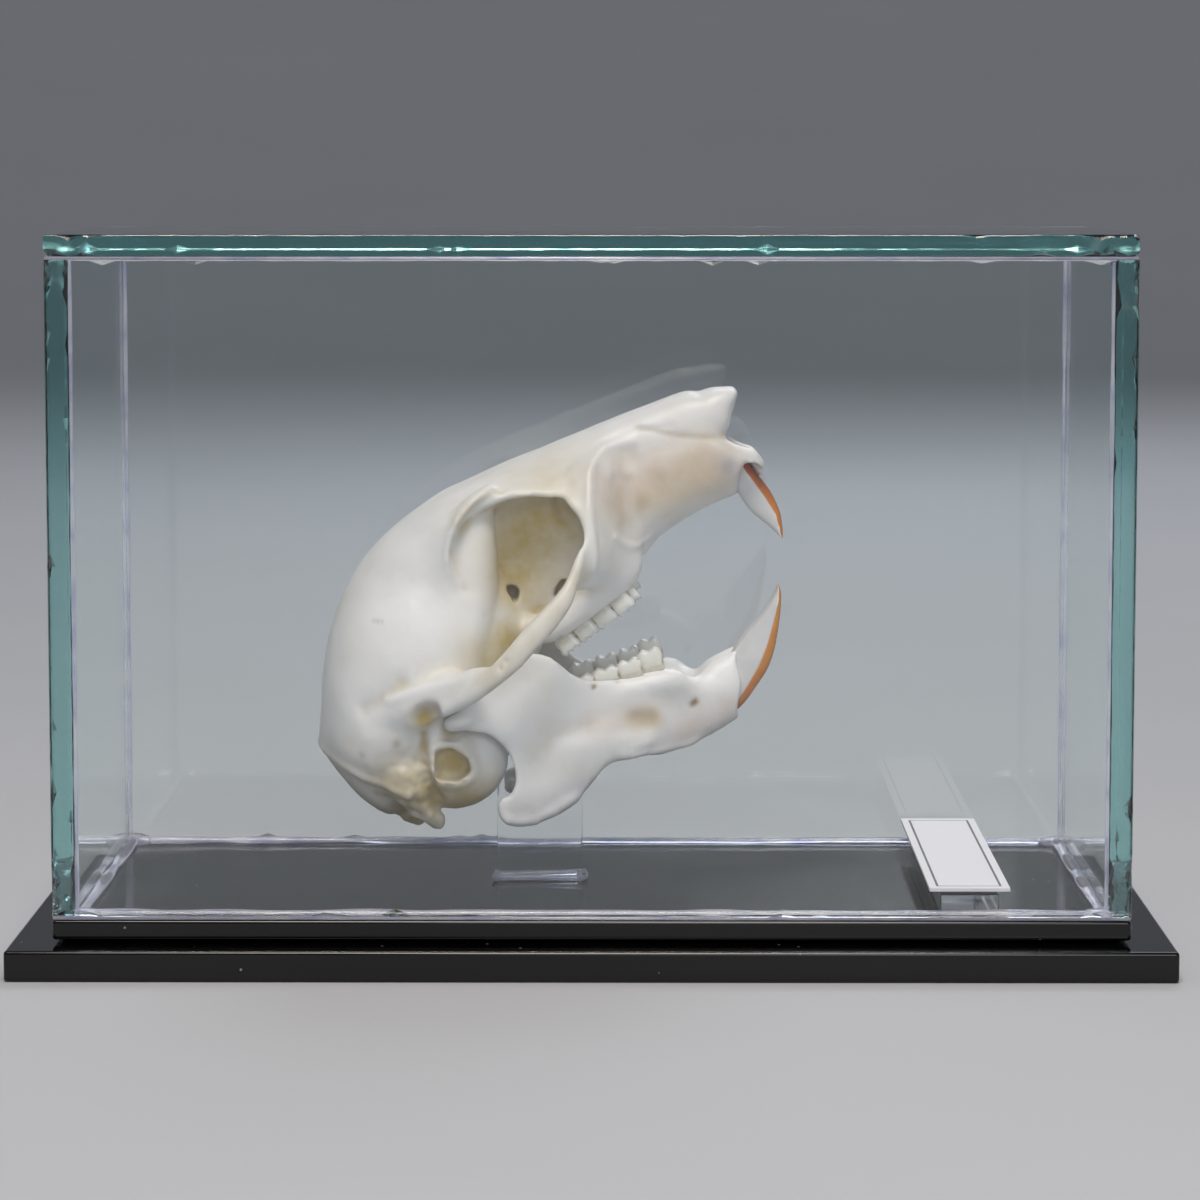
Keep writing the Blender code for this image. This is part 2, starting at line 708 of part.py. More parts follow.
def jaw_y(x):
    """Distance of the blade from the skull's middle: the halves spread towards the back."""
    return 10.6 - 9.1 * max((x + 13.0) / 27.0, 0.0) ** 1.25


def jaw_blade(bm, side):
    middle = [(x, jaw_y(x), z) for x, z in JAW_OUTLINE]
    inner = [bm.verts.new((x, (y - JAW_HALF_THICKNESS) * side, z)) for x, y, z in middle]
    outer = [bm.verts.new((x, (y + JAW_HALF_THICKNESS) * side, z)) for x, y, z in middle]
    count = len(middle)
    for step in range(count):
        after = (step + 1) % count
        bm.faces.new((inner[step], inner[after], outer[after], outer[step]))
    caps = [bm.faces.new(inner), bm.faces.new(outer[::-1])]
    bmesh.ops.triangulate(bm, faces=caps)


def jaw_body(bm, side):
    """The thick bar with the incisor's root in it, and the ridge that holds the teeth."""
    body = [
        (14.1, 1.9, -0.7, 1.1, 2.1),
        (12.6, 2.0, -1.7, 1.6, 2.9),
        (10.0, 2.7, -2.75, 1.6, 2.85),
        (7.5, 3.6, -2.6, 1.7, 3.4),
        (4.5, 4.6, -2.35, 1.8, 3.7),
        (1.5, 5.8, -2.4, 1.8, 2.8),
        (-2.0, 7.4, -2.6, 1.4, 2.0),
        (-5.0, 8.6, -2.6, 0.9, 1.2),
    ]
    sweep(bm, mirrored(body, side), corner=0.9, sides=14)
    ridge = [
        (9.8, 3.4, -1.6, 1.0, 0.8),
        (8.2, 4.2, -0.5, 1.6, 1.2),
        (6.8, 4.6, 0.5, 1.9, 1.8),
        (3.0, 5.0, 0.6, 1.95, 2.0),
        (-1.0, 5.5, 0.6, 1.9, 2.0),
        (-3.2, 6.6, 0.8, 1.5, 1.4),
    ]
    sweep(bm, mirrored(ridge, side), corner=0.8, sides=12)
    egg(bm, (8.3, 4.0 * side, -1.3), (2.4, 1.25, 1.5))


def jaw_ends(bm, side):
    """Condyle head, and the thickened hook of the angle."""
    egg(bm, (-12.7, 10.5 * side, 3.0), (1.7, 1.3, 0.9))
    hook = [
        (-4.5, 8.3, -7.0, 0.8, 0.8),
        (-7.5, 9.0, -7.7, 0.9, 0.8),
        (-10.0, 8.8, -7.4, 1.0, 0.8),
        (-11.3, 8.2, -6.2, 0.8, 0.8),
    ]
    sweep(bm, mirrored(hook, side), sides=10)


def build_jaws(parent):
    for side_name, side in SIDES.items():
        bm = bmesh.new()
        jaw_blade(bm, side)
        jaw_body(bm, side)
        jaw_ends(bm, side)
        jaw = add_object(f"mandible_{side_name}", bm, "dry_bone", parent)
        skinned(jaw)
        finished(jaw, JAW_KEPT, smoothing=3)
        sockets = bmesh.new()
        incisor_socket(sockets, LOWER_INCISOR, side)
        cut(jaw, f"lower_socket_{side_name}", sockets, parent)
        trough = bmesh.new()
        tooth_trough(trough, LOWER_TEETH, LOWER_ROW, 1.0, side)
        cut(jaw, f"lower_trough_{side_name}", trough, parent)


clear_scene()
build_base()
build_glass()
build_stand()
build_label()
skull_axes = axes("skull_axes", SKULL_PLACE, SKULL_TILT)
jaw_axes = axes("jaw_axes", JAW_PLACE, JAW_TILT)
build_cranium(skull_axes)
build_jaws(jaw_axes)
build_incisors("upper_incisor", UPPER_INCISOR, skull_axes)
build_incisors("lower_incisor", LOWER_INCISOR, jaw_axes)
build_cheek_teeth("upper_cheek_tooth", UPPER_TEETH, UPPER_ROW, -1.0, skull_axes)
build_cheek_teeth("lower_cheek_tooth", LOWER_TEETH, LOWER_ROW, 1.0, jaw_axes)
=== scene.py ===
"""Looks of a red squirrel's skull in a small glued glass case.

The pieces follow in the order in which the case is put together: the black base, the clear
stand, the bones and the teeth, the label, the glass and its glue. Everything is in metres,
in the part's own frame. Skull stations are in units of about one millimetre, along axes
that lie with the bone: x towards the nose, y towards the skull's left, z towards its crown.
"""

import random
from math import cos, pi, radians, sin

import bmesh
import bpy
import numpy as np
from mathutils import Matrix, Vector, noise


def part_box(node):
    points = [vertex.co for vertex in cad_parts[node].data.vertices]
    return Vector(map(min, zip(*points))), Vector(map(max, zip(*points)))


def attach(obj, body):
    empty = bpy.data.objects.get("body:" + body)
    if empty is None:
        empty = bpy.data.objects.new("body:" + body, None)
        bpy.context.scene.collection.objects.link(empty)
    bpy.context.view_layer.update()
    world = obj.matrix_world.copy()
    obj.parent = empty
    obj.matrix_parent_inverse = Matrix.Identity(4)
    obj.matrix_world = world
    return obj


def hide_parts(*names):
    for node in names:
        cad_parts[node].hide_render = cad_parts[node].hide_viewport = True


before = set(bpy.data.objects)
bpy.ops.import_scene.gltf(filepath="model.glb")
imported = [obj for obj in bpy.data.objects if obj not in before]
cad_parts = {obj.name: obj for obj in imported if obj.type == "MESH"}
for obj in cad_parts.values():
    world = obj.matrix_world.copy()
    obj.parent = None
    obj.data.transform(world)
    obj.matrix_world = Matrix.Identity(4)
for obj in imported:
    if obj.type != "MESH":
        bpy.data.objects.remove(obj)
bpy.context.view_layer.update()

# Studio. The camera stands a little above the lid and square to the front pane. The floor
# is a turned sweep of pale matte paper that curves up all round, so that no horizon shows
# from any side, and three soft lamps hang over it.
CAMERA_PLACE = (0.00313, -0.4164, 0.0755)
CAMERA_DOWN, CAMERA_TURN = radians(5.9), radians(0.34)
LENS_MM, SENSOR_MM = 128.8, 36.0
PAPER_RADIUS, PAPER_BEND, PAPER_TOP = 1.1, 0.5, 1.0
AIM = Vector((0.0, 0.0, 0.035))


def linear(colour):
    """An sRGB hex colour as the linear one that a shader takes."""
    parts = [int(colour[place:place + 2], 16) / 255 for place in (1, 3, 5)]
    return tuple(p / 12.92 if p <= 0.04045 else ((p + 0.055) / 1.055) ** 2.4 for p in parts) + (1.0,)


def add(tree, kind, inputs=None, stops=None, **settings):
    """A new node with its settings; an input is a value, or the socket that feeds it."""
    node = tree.nodes.new("ShaderNode" + kind)
    for name, value in settings.items():
        setattr(node, name, value)
    for name, value in (inputs or {}).items():
        if isinstance(value, bpy.types.NodeSocket):
            tree.links.new(value, node.inputs[name])
        else:
            node.inputs[name].default_value = value
    for place, colour in stops or []:
        ramp = node.color_ramp.elements
        point = ramp[0] if place == 0.0 else ramp[1] if place == 1.0 else ramp.new(place)
        point.color = linear(colour)
    return node


def surface(name, colour, roughness, **inputs):
    """A new material, its node tree and its shader with plain starting values."""
    made = bpy.data.materials.new(name)
    made.use_nodes = True
    shader = made.node_tree.nodes["Principled BSDF"]
    shader.inputs["Base Color"].default_value = linear(colour)
    shader.inputs["Roughness"].default_value = roughness
    for socket, value in inputs.items():
        shader.inputs[socket.replace("_", " ")].default_value = value
    return made, made.node_tree, shader


def new_piece(name, bm, material, smooth=True):
    mesh = bpy.data.meshes.new(name)
    bmesh.ops.recalc_face_normals(bm, faces=bm.faces)
    bm.to_mesh(mesh)
    bm.free()
    made = bpy.data.objects.new(name, mesh)
    bpy.context.scene.collection.objects.link(made)
    mesh.materials.append(material)
    if smooth:
        mesh.shade_smooth()
    return made


def hang_lamp(name, place, size, watts, colour):
    lamp = bpy.data.lights.new(name, "AREA")
    lamp.shape, lamp.size, lamp.energy = "DISK", size, watts
    lamp.color = linear(colour)[:3]
    made = bpy.data.objects.new(name, lamp)
    bpy.context.scene.collection.objects.link(made)
    made.location = place
    made.rotation_euler = (AIM - Vector(place)).to_track_quat("-Z", "Y").to_euler()


def build_studio():
    view = bpy.data.cameras.new("studio_camera")
    view.lens, view.sensor_width = LENS_MM, SENSOR_MM
    view.clip_start, view.clip_end = 0.01, 20.0
    camera = bpy.data.objects.new("studio_camera", view)
    bpy.context.scene.collection.objects.link(camera)
    camera.location = CAMERA_PLACE
    camera.rotation_euler = (pi / 2 - CAMERA_DOWN, 0.0, CAMERA_TURN)
    bpy.context.scene.camera = camera

    profile = [Vector((0.0, 0.0, 0.0)), Vector((PAPER_RADIUS, 0.0, 0.0))]
    for step in range(1, 13):
        turn = pi / 2 * step / 12
        out = PAPER_RADIUS + PAPER_BEND * sin(turn)
        profile.append(Vector((out, 0.0, PAPER_BEND * (1 - cos(turn)))))
    profile.append(Vector((PAPER_RADIUS + PAPER_BEND, 0.0, PAPER_TOP)))
    bm = bmesh.new()
    line = [bm.verts.new(point) for point in profile]
    edges = [bm.edges.new(pair) for pair in zip(line, line[1:])]
    bmesh.ops.spin(bm, geom=line + edges, cent=(0, 0, 0), axis=(0, 0, 1), angle=2 * pi, steps=96,
                   use_merge=True)
    bmesh.ops.remove_doubles(bm, verts=bm.verts, dist=1e-6)
    paper, tree, shader = surface("matte_paper", "#c9ccd0", 0.9)
    grain = add(tree, "TexNoise", {"Scale": 40.0, "Detail": 3.0})
    tone = add(tree, "ValToRGB", {"Fac": grain.outputs["Fac"]}, [(0.0, "#c6c9cd"), (1.0, "#cdd0d4")])
    tree.links.new(tone.outputs["Color"], shader.inputs["Base Color"])
    new_piece("studio_floor", bm, paper)

    world = bpy.data.worlds.new("studio_air")
    world.use_nodes = True
    air = world.node_tree.nodes["Background"]
    air.inputs["Color"].default_value = linear("#eef2fa")
    air.inputs["Strength"].default_value = 0.24
    bpy.context.scene.world = world
    bpy.context.scene.view_settings.view_transform = "Standard"
    hang_lamp("key_lamp", (-0.02, -0.34, 0.64), 0.26, 2.6, "#fff4ea")
    hang_lamp("fill_lamp", (0.10, -0.60, 0.26), 0.30, 0.7, "#f8f7fa")
    hang_lamp("back_lamp", (0.15, 0.62, 0.55), 0.40, 1.3, "#f4f7ff")


build_studio()

# Base. Two steps of black cast acrylic sheet, a 3 mm slab under a 2 mm plinth, sawn to size,
# polished along their edges and glued together. The polish mirrors what stands on it, and
# shows every speck of dust.
EDGE_POLISH = 0.00035
DUST_SPACING = 0.0016
SMEAR_WIDTH = 0.014


def add_block(bm, size, centre):
    made = bmesh.ops.create_cube(bm, size=1.0)
    bmesh.ops.scale(bm, vec=size, verts=made["verts"])
    bmesh.ops.translate(bm, vec=centre, verts=made["verts"])


def rounded_block(name, low, high, edge, material):
    """A block between two corners whose edges are rounded by the polish."""
    bm = bmesh.new()
    add_block(bm, high - low, (high + low) / 2)
    made = new_piece(name, bm, material)
    rounding = made.modifiers.new("rounded edge", "BEVEL")
    rounding.width = edge
    rounding.segments = 4
    rounding.harden_normals = True
    return made


def dress(piece, slot, *nodes):
    """The piece rides on the case's one body and stands for these solids."""
    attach(piece, "root")
    if nodes:
        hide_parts(*nodes)
    return piece


def polished_black_acrylic():
    """Cast acrylic, flame-polished: deep black under a wet-looking skin, dulled by hands."""
    made, tree, shader = surface("polished_black_acrylic", "#060607", 0.1, IOR=1.49)
    where = add(tree, "TexCoord").outputs["Object"]
    smear = add(tree, "TexNoise", {"Vector": where, "Scale": 1 / SMEAR_WIDTH, "Detail": 4.0,
                                   "Distortion": 0.6})
    dulled = add(tree, "MapRange", {"Value": smear.outputs["Fac"], "From Min": 0.35,
                                    "From Max": 0.75, "To Min": 0.06, "To Max": 0.17})
    specks = add(tree, "TexVoronoi", {"Vector": where, "Scale": 1 / DUST_SPACING,
                                      "Randomness": 1.0})
    near = add(tree, "MapRange", {"Value": specks.outputs["Distance"], "From Min": 0.05,
                                  "From Max": 0.09, "To Min": 1.0, "To Max": 0.0})
    chance = add(tree, "SeparateColor", {"Color": specks.outputs["Color"]})
    chosen = add(tree, "Math", {0: chance.outputs[0], 1: 0.8}, operation="GREATER_THAN")
    dust = add(tree, "Math", {0: near.outputs[0], 1: chosen.outputs[0]}, operation="MULTIPLY")
    colour = add(tree, "Mix", {0: dust.outputs[0], 6: linear("#060607"), 7: linear("#8d8f94")},
                 data_type="RGBA")
    rough = add(tree, "Mix", {0: dust.outputs[0], 2: dulled.outputs[0], 3: 0.8})
    tree.links.new(colour.outputs[2], shader.inputs["Base Color"])
    tree.links.new(rough.outputs[0], shader.inputs["Roughness"])
    return made


black_acrylic = polished_black_acrylic()
for node in ("base_slab", "base_plinth"):
    step = rounded_block(node + "_polished", *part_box(node), EDGE_POLISH, black_acrylic)
    dress(step, "black_acrylic", node)

# Skull stand. An upright strip of clear cast acrylic, sawn with its top stepped to carry the
# back and the base of the skull, and glued at its foot. Only its edges and the glue show.
STAND_DROP, STAND_SHOULDER = 0.0078, 0.0068  # from its top to its left and right edge
STAND_LEDGE, STAND_RISE_END, STAND_SLOPE_START = 0.0003, 0.00165, 0.0040
STAND_EDGE = 0.00015


def clear_cast_acrylic():
    """Water-clear, a little scratched by handling, so its edges catch a soft line of light."""
    made, tree, shader = surface("clear_cast_acrylic", "#f6f8fa", 0.03, IOR=1.49,
                                 Transmission_Weight=1.0)
    where = add(tree, "TexCoord").outputs["Object"]
    scuffs = add(tree, "TexNoise", {"Vector": where, "Scale": 400.0, "Detail": 2.0})
    rough = add(tree, "MapRange", {"Value": scuffs.outputs["Fac"], "To Min": 0.01, "To Max": 0.09})
    tree.links.new(rough.outputs[0], shader.inputs["Roughness"])
    return made


def draw_out(bm, faces, step):
    """Draws flat faces out into a slab."""
    grown = bmesh.ops.extrude_face_region(bm, geom=faces)
    moved = [part for part in grown["geom"] if isinstance(part, bmesh.types.BMVert)]
    bmesh.ops.translate(bm, vec=step, verts=moved)


def build_stand(material):
    low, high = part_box("skull_stand")
    outline = [
        (low.x, low.z),
        (high.x, low.z),
        (high.x, high.z - STAND_SHOULDER),
        (high.x - STAND_SLOPE_START, high.z),
        (low.x + STAND_RISE_END, high.z),
        (low.x + STAND_LEDGE, high.z - STAND_DROP + STAND_LEDGE),
        (low.x, high.z - STAND_DROP),
    ]
    bm = bmesh.new()
    face = bm.faces.new([bm.verts.new((x, low.y, z)) for x, z in outline])
    draw_out(bm, [face], (0, high.y - low.y, 0))
    strip = new_piece("skull_stand_strip", bm, material)
    edge = strip.modifiers.new("sawn edge", "BEVEL")
    edge.width, edge.segments, edge.harden_normals = STAND_EDGE, 2, True
    return strip


def let_light_through(piece):
    """Lamps and bounced light pass the clear piece, so that what it shuts in is lit."""
    piece.visible_shadow = False
    piece.visible_diffuse = False
    return piece


clear_acrylic = clear_cast_acrylic()
dress(let_light_through(build_stand(clear_acrylic)), "clear_acrylic", "skull_stand")

# Cranium. One bone: a thin-walled braincase, the roof over the orbits, the snout, two cheek
# arches and the ear capsules, cleaned and bleached for show. It is built up as clay: bodies
# run through stations, are joined under one skin, hollowed, softened and then marked.
SKULL_LENGTH = 0.0535
UNIT = SKULL_LENGTH / 53.0
SIDES = {"right": -1.0, "left": 1.0}
UPWARD, FORWARD = Vector((0, 0, 1)), Vector((1, 0, 0))
CRANIUM_PLACE, CRANIUM_TILT = (-0.01133, 0.0, 0.02266), radians(39.0)
FIRST_SKIN, LAST_SKIN, SKIN_SEARCH = 0.30, 0.26, 0.45  # units
ROOF_THICKNESS, ROOF_STEPS = 0.75, 32  # units at the rim over the orbit, steps across
IVORY_AND_SHADE, STAIN, ROSE, SLATE_AND_SHADE = range(4)  # tints, kept as the channels of one colour attribute; ivory and slate also paint shade


def bone_axes(place, tilt):
    turn = Matrix.Rotation(-tilt, 4, "Y")
    return Matrix.Translation(place) @ turn @ Matrix.Scale(UNIT, 4)


def curved(stations, steps=6):
    """More stations between the given ones, along a smooth curve through them."""
    rows = [Vector(station) for station in stations]
    points = []
    for index in range(len(rows) - 1):
        before, start = rows[max(index - 1, 0)], rows[index]
        end, after = rows[index + 1], rows[min(index + 2, len(rows) - 1)]
        for step in range(steps):
            t = step / steps
            bend = (end - before) * t + (2 * before - 5 * start + 4 * end - after) * t**2
            bend += (3 * start - before - 3 * end + after) * t**3
            points.append(start + bend / 2)
    return points + [rows[-1]]


def ring_points(centre, across, upright, width, height, corner, sides):
    """A closed rounded ring; corner 1 is an ellipse, smaller is squarer, larger is sharper."""
    points = []
    for step in range(sides):
        sideways, upward = cos(2 * pi * step / sides), sin(2 * pi * step / sides)
        u = abs(sideways) ** corner * (1 if sideways > 0 else -1)
        v = abs(upward) ** corner * (1 if upward > 0 else -1)
        points.append(centre + across * (u * width) + upright * (v * height))
    return points


def loft(bm, rings):
    """A closed skin through the rings; gives its rows of vertices."""
    rows = [[bm.verts.new(point) for point in ring] for ring in rings]
    sides = len(rows[0])
    for low, high in zip(rows, rows[1:]):
        for step in range(sides):
            after = (step + 1) % sides
            bm.faces.new((low[step], low[after], high[after], high[step]))
    bm.faces.new(rows[0][::-1])
    bm.faces.new(rows[-1])
    return rows


def sweep(bm, stations, corner=1.0, sides=28, up=UPWARD):
    """A tapering body along stations of (x, y, z, half width, half height)."""
    stations = curved(stations)
    centres = [Vector(station[:3]) for station in stations]
    rings = []
    for index, (centre, station) in enumerate(zip(centres, stations)):
        before = centres[max(index - 1, 0)]
        after = centres[min(index + 1, len(centres) - 1)]
        path = (after - before).normalized()
        across = up.cross(path).normalized()
        upright = path.cross(across)
        rings.append(ring_points(centre, across, upright, station[3], station[4], corner, sides))
    return loft(bm, rings)


def upright_sections(bm, stations, corner=1.0, sides=56):
    """A body of upright sections at (x, lowest z, highest z, half width)."""
    rings = []
    for x, low, high, width in curved(stations):
        centre = Vector((x, 0, (low + high) / 2))
        rings.append(ring_points(centre, Vector((0, 1, 0)), UPWARD, width, (high - low) / 2,
                                 corner, sides))
    loft(bm, rings)


def egg(bm, centre, radii):
    made = bmesh.ops.create_uvsphere(bm, u_segments=28, v_segments=18, radius=1.0)
    bmesh.ops.scale(bm, vec=radii, verts=made["verts"])
    bmesh.ops.translate(bm, vec=centre, verts=made["verts"])


def mirrored(stations, side):
    return [(x, y * side, *rest) for x, y, *rest in stations]


def braincase(bm):
    stations = [
        (-14.4, 0.2, 5.8, 2.6), (-14.0, -1.6, 6.9, 6.0), (-13.0, -3.5, 8.0, 8.6),
        (-11.0, -4.0, 10.2, 10.3), (-8.0, -3.9, 13.2, 11.3), (-4.0, -3.5, 16.0, 11.8),
        (0.0, -3.1, 17.6, 11.5), (3.0, -2.6, 18.1, 10.7), (6.0, -1.2, 18.2, 9.2),
        (8.5, 1.2, 17.8, 7.2), (10.2, 3.8, 16.6, 4.4),
    ]
    upright_sections(bm, stations, corner=0.92)


def vault(bm):
    """Frontal bones: a shallow roof whose thin rims overhang the orbits."""
    stations = [
        (-1.5, 14.2, 17.0, 6.6, 2.0), (2.0, 15.0, 18.0, 8.6, 2.5), (6.0, 15.5, 18.15, 9.3, 2.5),
        (9.5, 15.5, 17.95, 9.5, 2.8), (12.5, 15.15, 17.3, 9.1, 3.0), (15.0, 14.4, 16.65, 8.9, 3.0),
        (17.2, 12.9, 16.05, 8.9, 3.0), (19.0, 11.3, 15.5, 8.7, 3.0), (21.5, 10.5, 14.7, 7.8, 3.0),
        (25.0, 9.6, 13.55, 6.4, 2.5),
    ]
    rings = []
    for x, edge, crown, width, depth in curved(stations):
        upper, lower = [], []
        for step in range(ROOF_STEPS + 1):
            u = 2 * step / ROOF_STEPS - 1
            top = edge + (crown - edge) * (1 - abs(u) ** 2.6) ** 0.9
            upper.append(Vector((x, u * width, top)))
            lower.append(Vector((x, u * width, top - ROOF_THICKNESS - depth * (1 - u * u))))
        rings.append(upper + lower[::-1])
    loft(bm, rings)


def nasals(bm):
    """The bones of the nose, a rounded roof that runs out over the nostrils."""
    stations = [
        (20.0, 0.0, 12.9, 5.0, 2.2), (24.0, 0.0, 11.5, 5.2, 2.4), (28.0, 0.0, 9.9, 4.9, 2.75),
        (32.0, 0.0, 8.3, 4.6, 3.05), (34.6, 0.0, 7.6, 4.3, 2.75), (36.3, 0.0, 7.75, 3.7, 1.8),
        (37.7, 0.0, 7.7, 3.1, 0.75), (38.3, 0.0, 7.6, 2.5, 0.45),
    ]
    sweep(bm, stations, corner=0.7, sides=44)


def face(bm):
    """The narrow wall between the orbits, widening forward into the snout."""
    stations = [
        (6.0, 3.5, 16.5, 5.2), (10.0, 3.2, 16.5, 3.9), (14.0, 2.2, 15.5, 3.8),
        (18.0, 1.2, 14.3, 5.0), (21.0, 1.3, 13.4, 5.9), (24.0, 1.4, 12.3, 6.1),
        (27.0, 1.1, 11.2, 5.6), (30.0, 0.5, 9.8, 5.2), (32.4, -0.2, 9.0, 4.9),
        (33.8, -0.3, 7.4, 4.7), (34.7, -0.3, 5.0, 4.4), (35.4, -0.1, 3.5, 4.0),
        (36.1, 0.5, 2.5, 3.2),
    ]
    upright_sections(bm, stations, corner=0.72)


def orbit_pillar(bm, side):
    """The front of the braincase, which swells into the back of the orbit."""
    stations = [
        (1.5, 8.2, 3.6, 2.4, 2.2), (4.2, 7.4, 6.4, 2.8, 2.6), (7.2, 6.6, 9.6, 2.9, 2.7),
        (10.0, 6.0, 12.8, 2.7, 2.4), (12.0, 5.6, 15.2, 2.4, 2.0),
    ]
    sweep(bm, mirrored(stations, side))


def cheek_plate(bm, side):
    """The wedge from the orbit's front rim to the plate's ridge and in to the snout."""
    levels = [
        ((21.6, 6.8, 12.3), (26.0, 5.4, 11.9), (27.2, 3.5, 11.0), (22.5, 4.0, 11.5)),
        ((19.3, 8.9, 10.4), (23.0, 7.7, 11.0), (26.4, 4.2, 9.0), (20.5, 5.0, 10.0)),
        ((19.3, 10.1, 8.4), (21.5, 9.2, 9.0), (25.4, 4.5, 6.8), (20.0, 5.2, 7.8)),
        ((18.3, 11.3, 6.5), (19.6, 10.6, 7.0), (24.2, 4.8, 4.6), (19.6, 5.4, 5.2)),
        ((16.4, 12.5, 4.9), (17.5, 11.8, 4.8), (22.2, 5.2, 2.8), (18.4, 5.6, 3.2)),
        ((14.6, 13.0, 3.8), (16.4, 11.6, 3.2), (20.6, 5.6, 1.7), (17.0, 5.8, 2.2)),
        ((13.6, 11.8, 3.0), (15.8, 9.2, 1.7), (19.3, 5.8, 0.6), (16.0, 5.6, 1.2)),
    ]
    corners = [curved([level[corner] for level in levels]) for corner in range(4)]
    loft(bm, [[Vector((x, y * side, z)) for x, y, z in ring] for ring in zip(*corners)])


def cheek_arch(bm, side):
    """The flat arch from the plate back to the ear region, and the mound that it springs from."""
    arch = [
        (18.0, 11.4, 6.0, 0.6, 0.6), (16.3, 12.4, 4.7, 0.7, 0.75), (14.0, 13.4, 3.35, 0.7, 0.9),
        (11.5, 14.2, 2.8, 0.75, 1.1), (9.0, 14.8, 2.45, 0.75, 1.15), (6.5, 15.1, 2.05, 0.75, 1.1),
        (4.0, 15.0, 1.85, 0.75, 0.95), (1.5, 14.4, 1.85, 0.8, 0.85), (-0.5, 13.3, 2.1, 1.0, 0.8),
        (-2.4, 12.0, 2.8, 1.6, 1.0), (-4.5, 10.4, 3.8, 1.8, 1.8),
    ]
    sweep(bm, mirrored(arch, side), corner=0.75)
    mound = [
        (5.0, 14.9, 1.9, 0.5, 0.5), (3.4, 14.0, 2.6, 1.0, 0.8), (1.2, 12.6, 3.2, 1.7, 1.1),
        (-1.4, 11.1, 3.8, 2.2, 1.6), (-4.5, 9.8, 4.7, 2.5, 2.1), (-8.5, 8.6, 5.6, 2.4, 2.4),
    ]
    sweep(bm, mirrored(mound, side))


def brow_horn(bm, side):
    """Postorbital process, a thin horn that bends down behind the orbit."""
    stations = [
        (14.5, 7.4, 15.4, 1.3, 0.5), (12.2, 8.4, 15.6, 1.6, 0.55), (9.8, 8.8, 15.0, 1.8, 0.6),
        (8.0, 9.0, 13.8, 1.7, 0.6), (6.9, 9.0, 12.3, 1.5, 0.55), (6.3, 8.9, 10.6, 1.1, 0.5),
        (6.0, 8.6, 9.0, 0.5, 0.4),
    ]
    sweep(bm, mirrored(stations, side), sides=20)
    egg(bm, (5.0, 7.4 * side, 11.2), (3.6, 2.3, 4.6))
    egg(bm, (6.3, 8.0 * side, 14.2), (2.2, 1.5, 1.6))


def upper_jaw_ridge(bm, side):
    """The bone that holds the upper cheek teeth, and the pterygoid blade behind it."""
    ridge = [
        (21.2, 4.6, 2.3, 1.2, 0.9), (19.2, 4.6, 1.2, 2.0, 1.6), (15.0, 4.7, 1.2, 2.15, 1.6),
        (10.5, 4.7, 1.4, 2.15, 1.4), (8.6, 4.4, 2.6, 1.5, 1.4),
    ]
    sweep(bm, mirrored(ridge, side), corner=0.8)
    blade = [
        (10.0, 3.0, 2.8, 0.6, 1.8), (6.0, 2.7, 1.4, 0.5, 2.2), (2.0, 2.7, -0.8, 0.5, 2.0),
        (0.2, 3.0, -1.9, 0.4, 1.0),
    ]
    sweep(bm, mirrored(blade, side))


def skull_base(bm):
    """Palate and the flat middle of the skull's underside."""
    palate = [(24.0, 0.0, 3.0, 3.5, 1.4), (20.0, 0.0, 1.9, 4.4, 1.1), (9.0, 0.0, 2.1, 4.2, 1.1)]
    sweep(bm, palate, corner=0.8)
    middle = [
        (9.0, 0.0, 4.5, 2.6, 1.6), (4.0, 0.0, 0.4, 2.8, 2.2), (-2.0, 0.0, -1.6, 3.2, 2.0),
        (-11.0, 0.0, -2.6, 3.4, 1.6),
    ]
    sweep(bm, middle, corner=0.8)


def ear_capsule(bm, side):
    """The round bulla under the ear opening, the ear canal's rim and the bone behind them."""
    egg(bm, (-4.2, 6.8 * side, -3.4), (4.6, 3.6, 3.9))
    egg(bm, (-4.6, 9.3 * side, -2.2), (2.9, 1.8, 3.1))
    egg(bm, (-9.0, 8.6 * side, -0.6), (2.4, 2.0, 3.2))


def back_of_head(bm, side):
    """Condyle, the blunt process beside it, and half of the crest over the neck."""
    egg(bm, (-11.0, 2.9 * side, -3.9), (1.6, 1.5, 1.8))
    process = [
        (-9.4, 8.2, -1.5, 1.8, 1.5), (-9.7, 7.8, -3.6, 1.5, 1.2), (-9.6, 7.3, -5.4, 1.0, 0.9),
        (-9.4, 7.0, -6.8, 0.5, 0.5),
    ]
    sweep(bm, mirrored(process, side), up=FORWARD)
    crest = [
        (-14.2, -0.3, 6.3, 0.5, 0.5), (-13.8, 3.4, 6.0, 0.5, 0.5), (-12.9, 6.8, 4.2, 0.5, 0.5),
        (-11.0, 9.1, 0.9, 0.5, 0.5), (-9.2, 9.8, -1.6, 0.5, 0.5),
    ]
    sweep(bm, mirrored(crest, side), sides=12)


def window(bm, outline, near, far, side, taper=0.8):
    """An angular opening: a flat outline seen from the side, cut inwards and narrowing."""
    middle = sum((Vector(spot) for spot in outline), Vector((0, 0))) / len(outline)
    rings = []
    for y, share in ((near, taper), (far, 1.0)):
        spots = [middle + (Vector(spot) - middle) * share for spot in outline]
        rings.append([Vector((x, y * side, z)) for x, z in spots])
    loft(bm, rings)


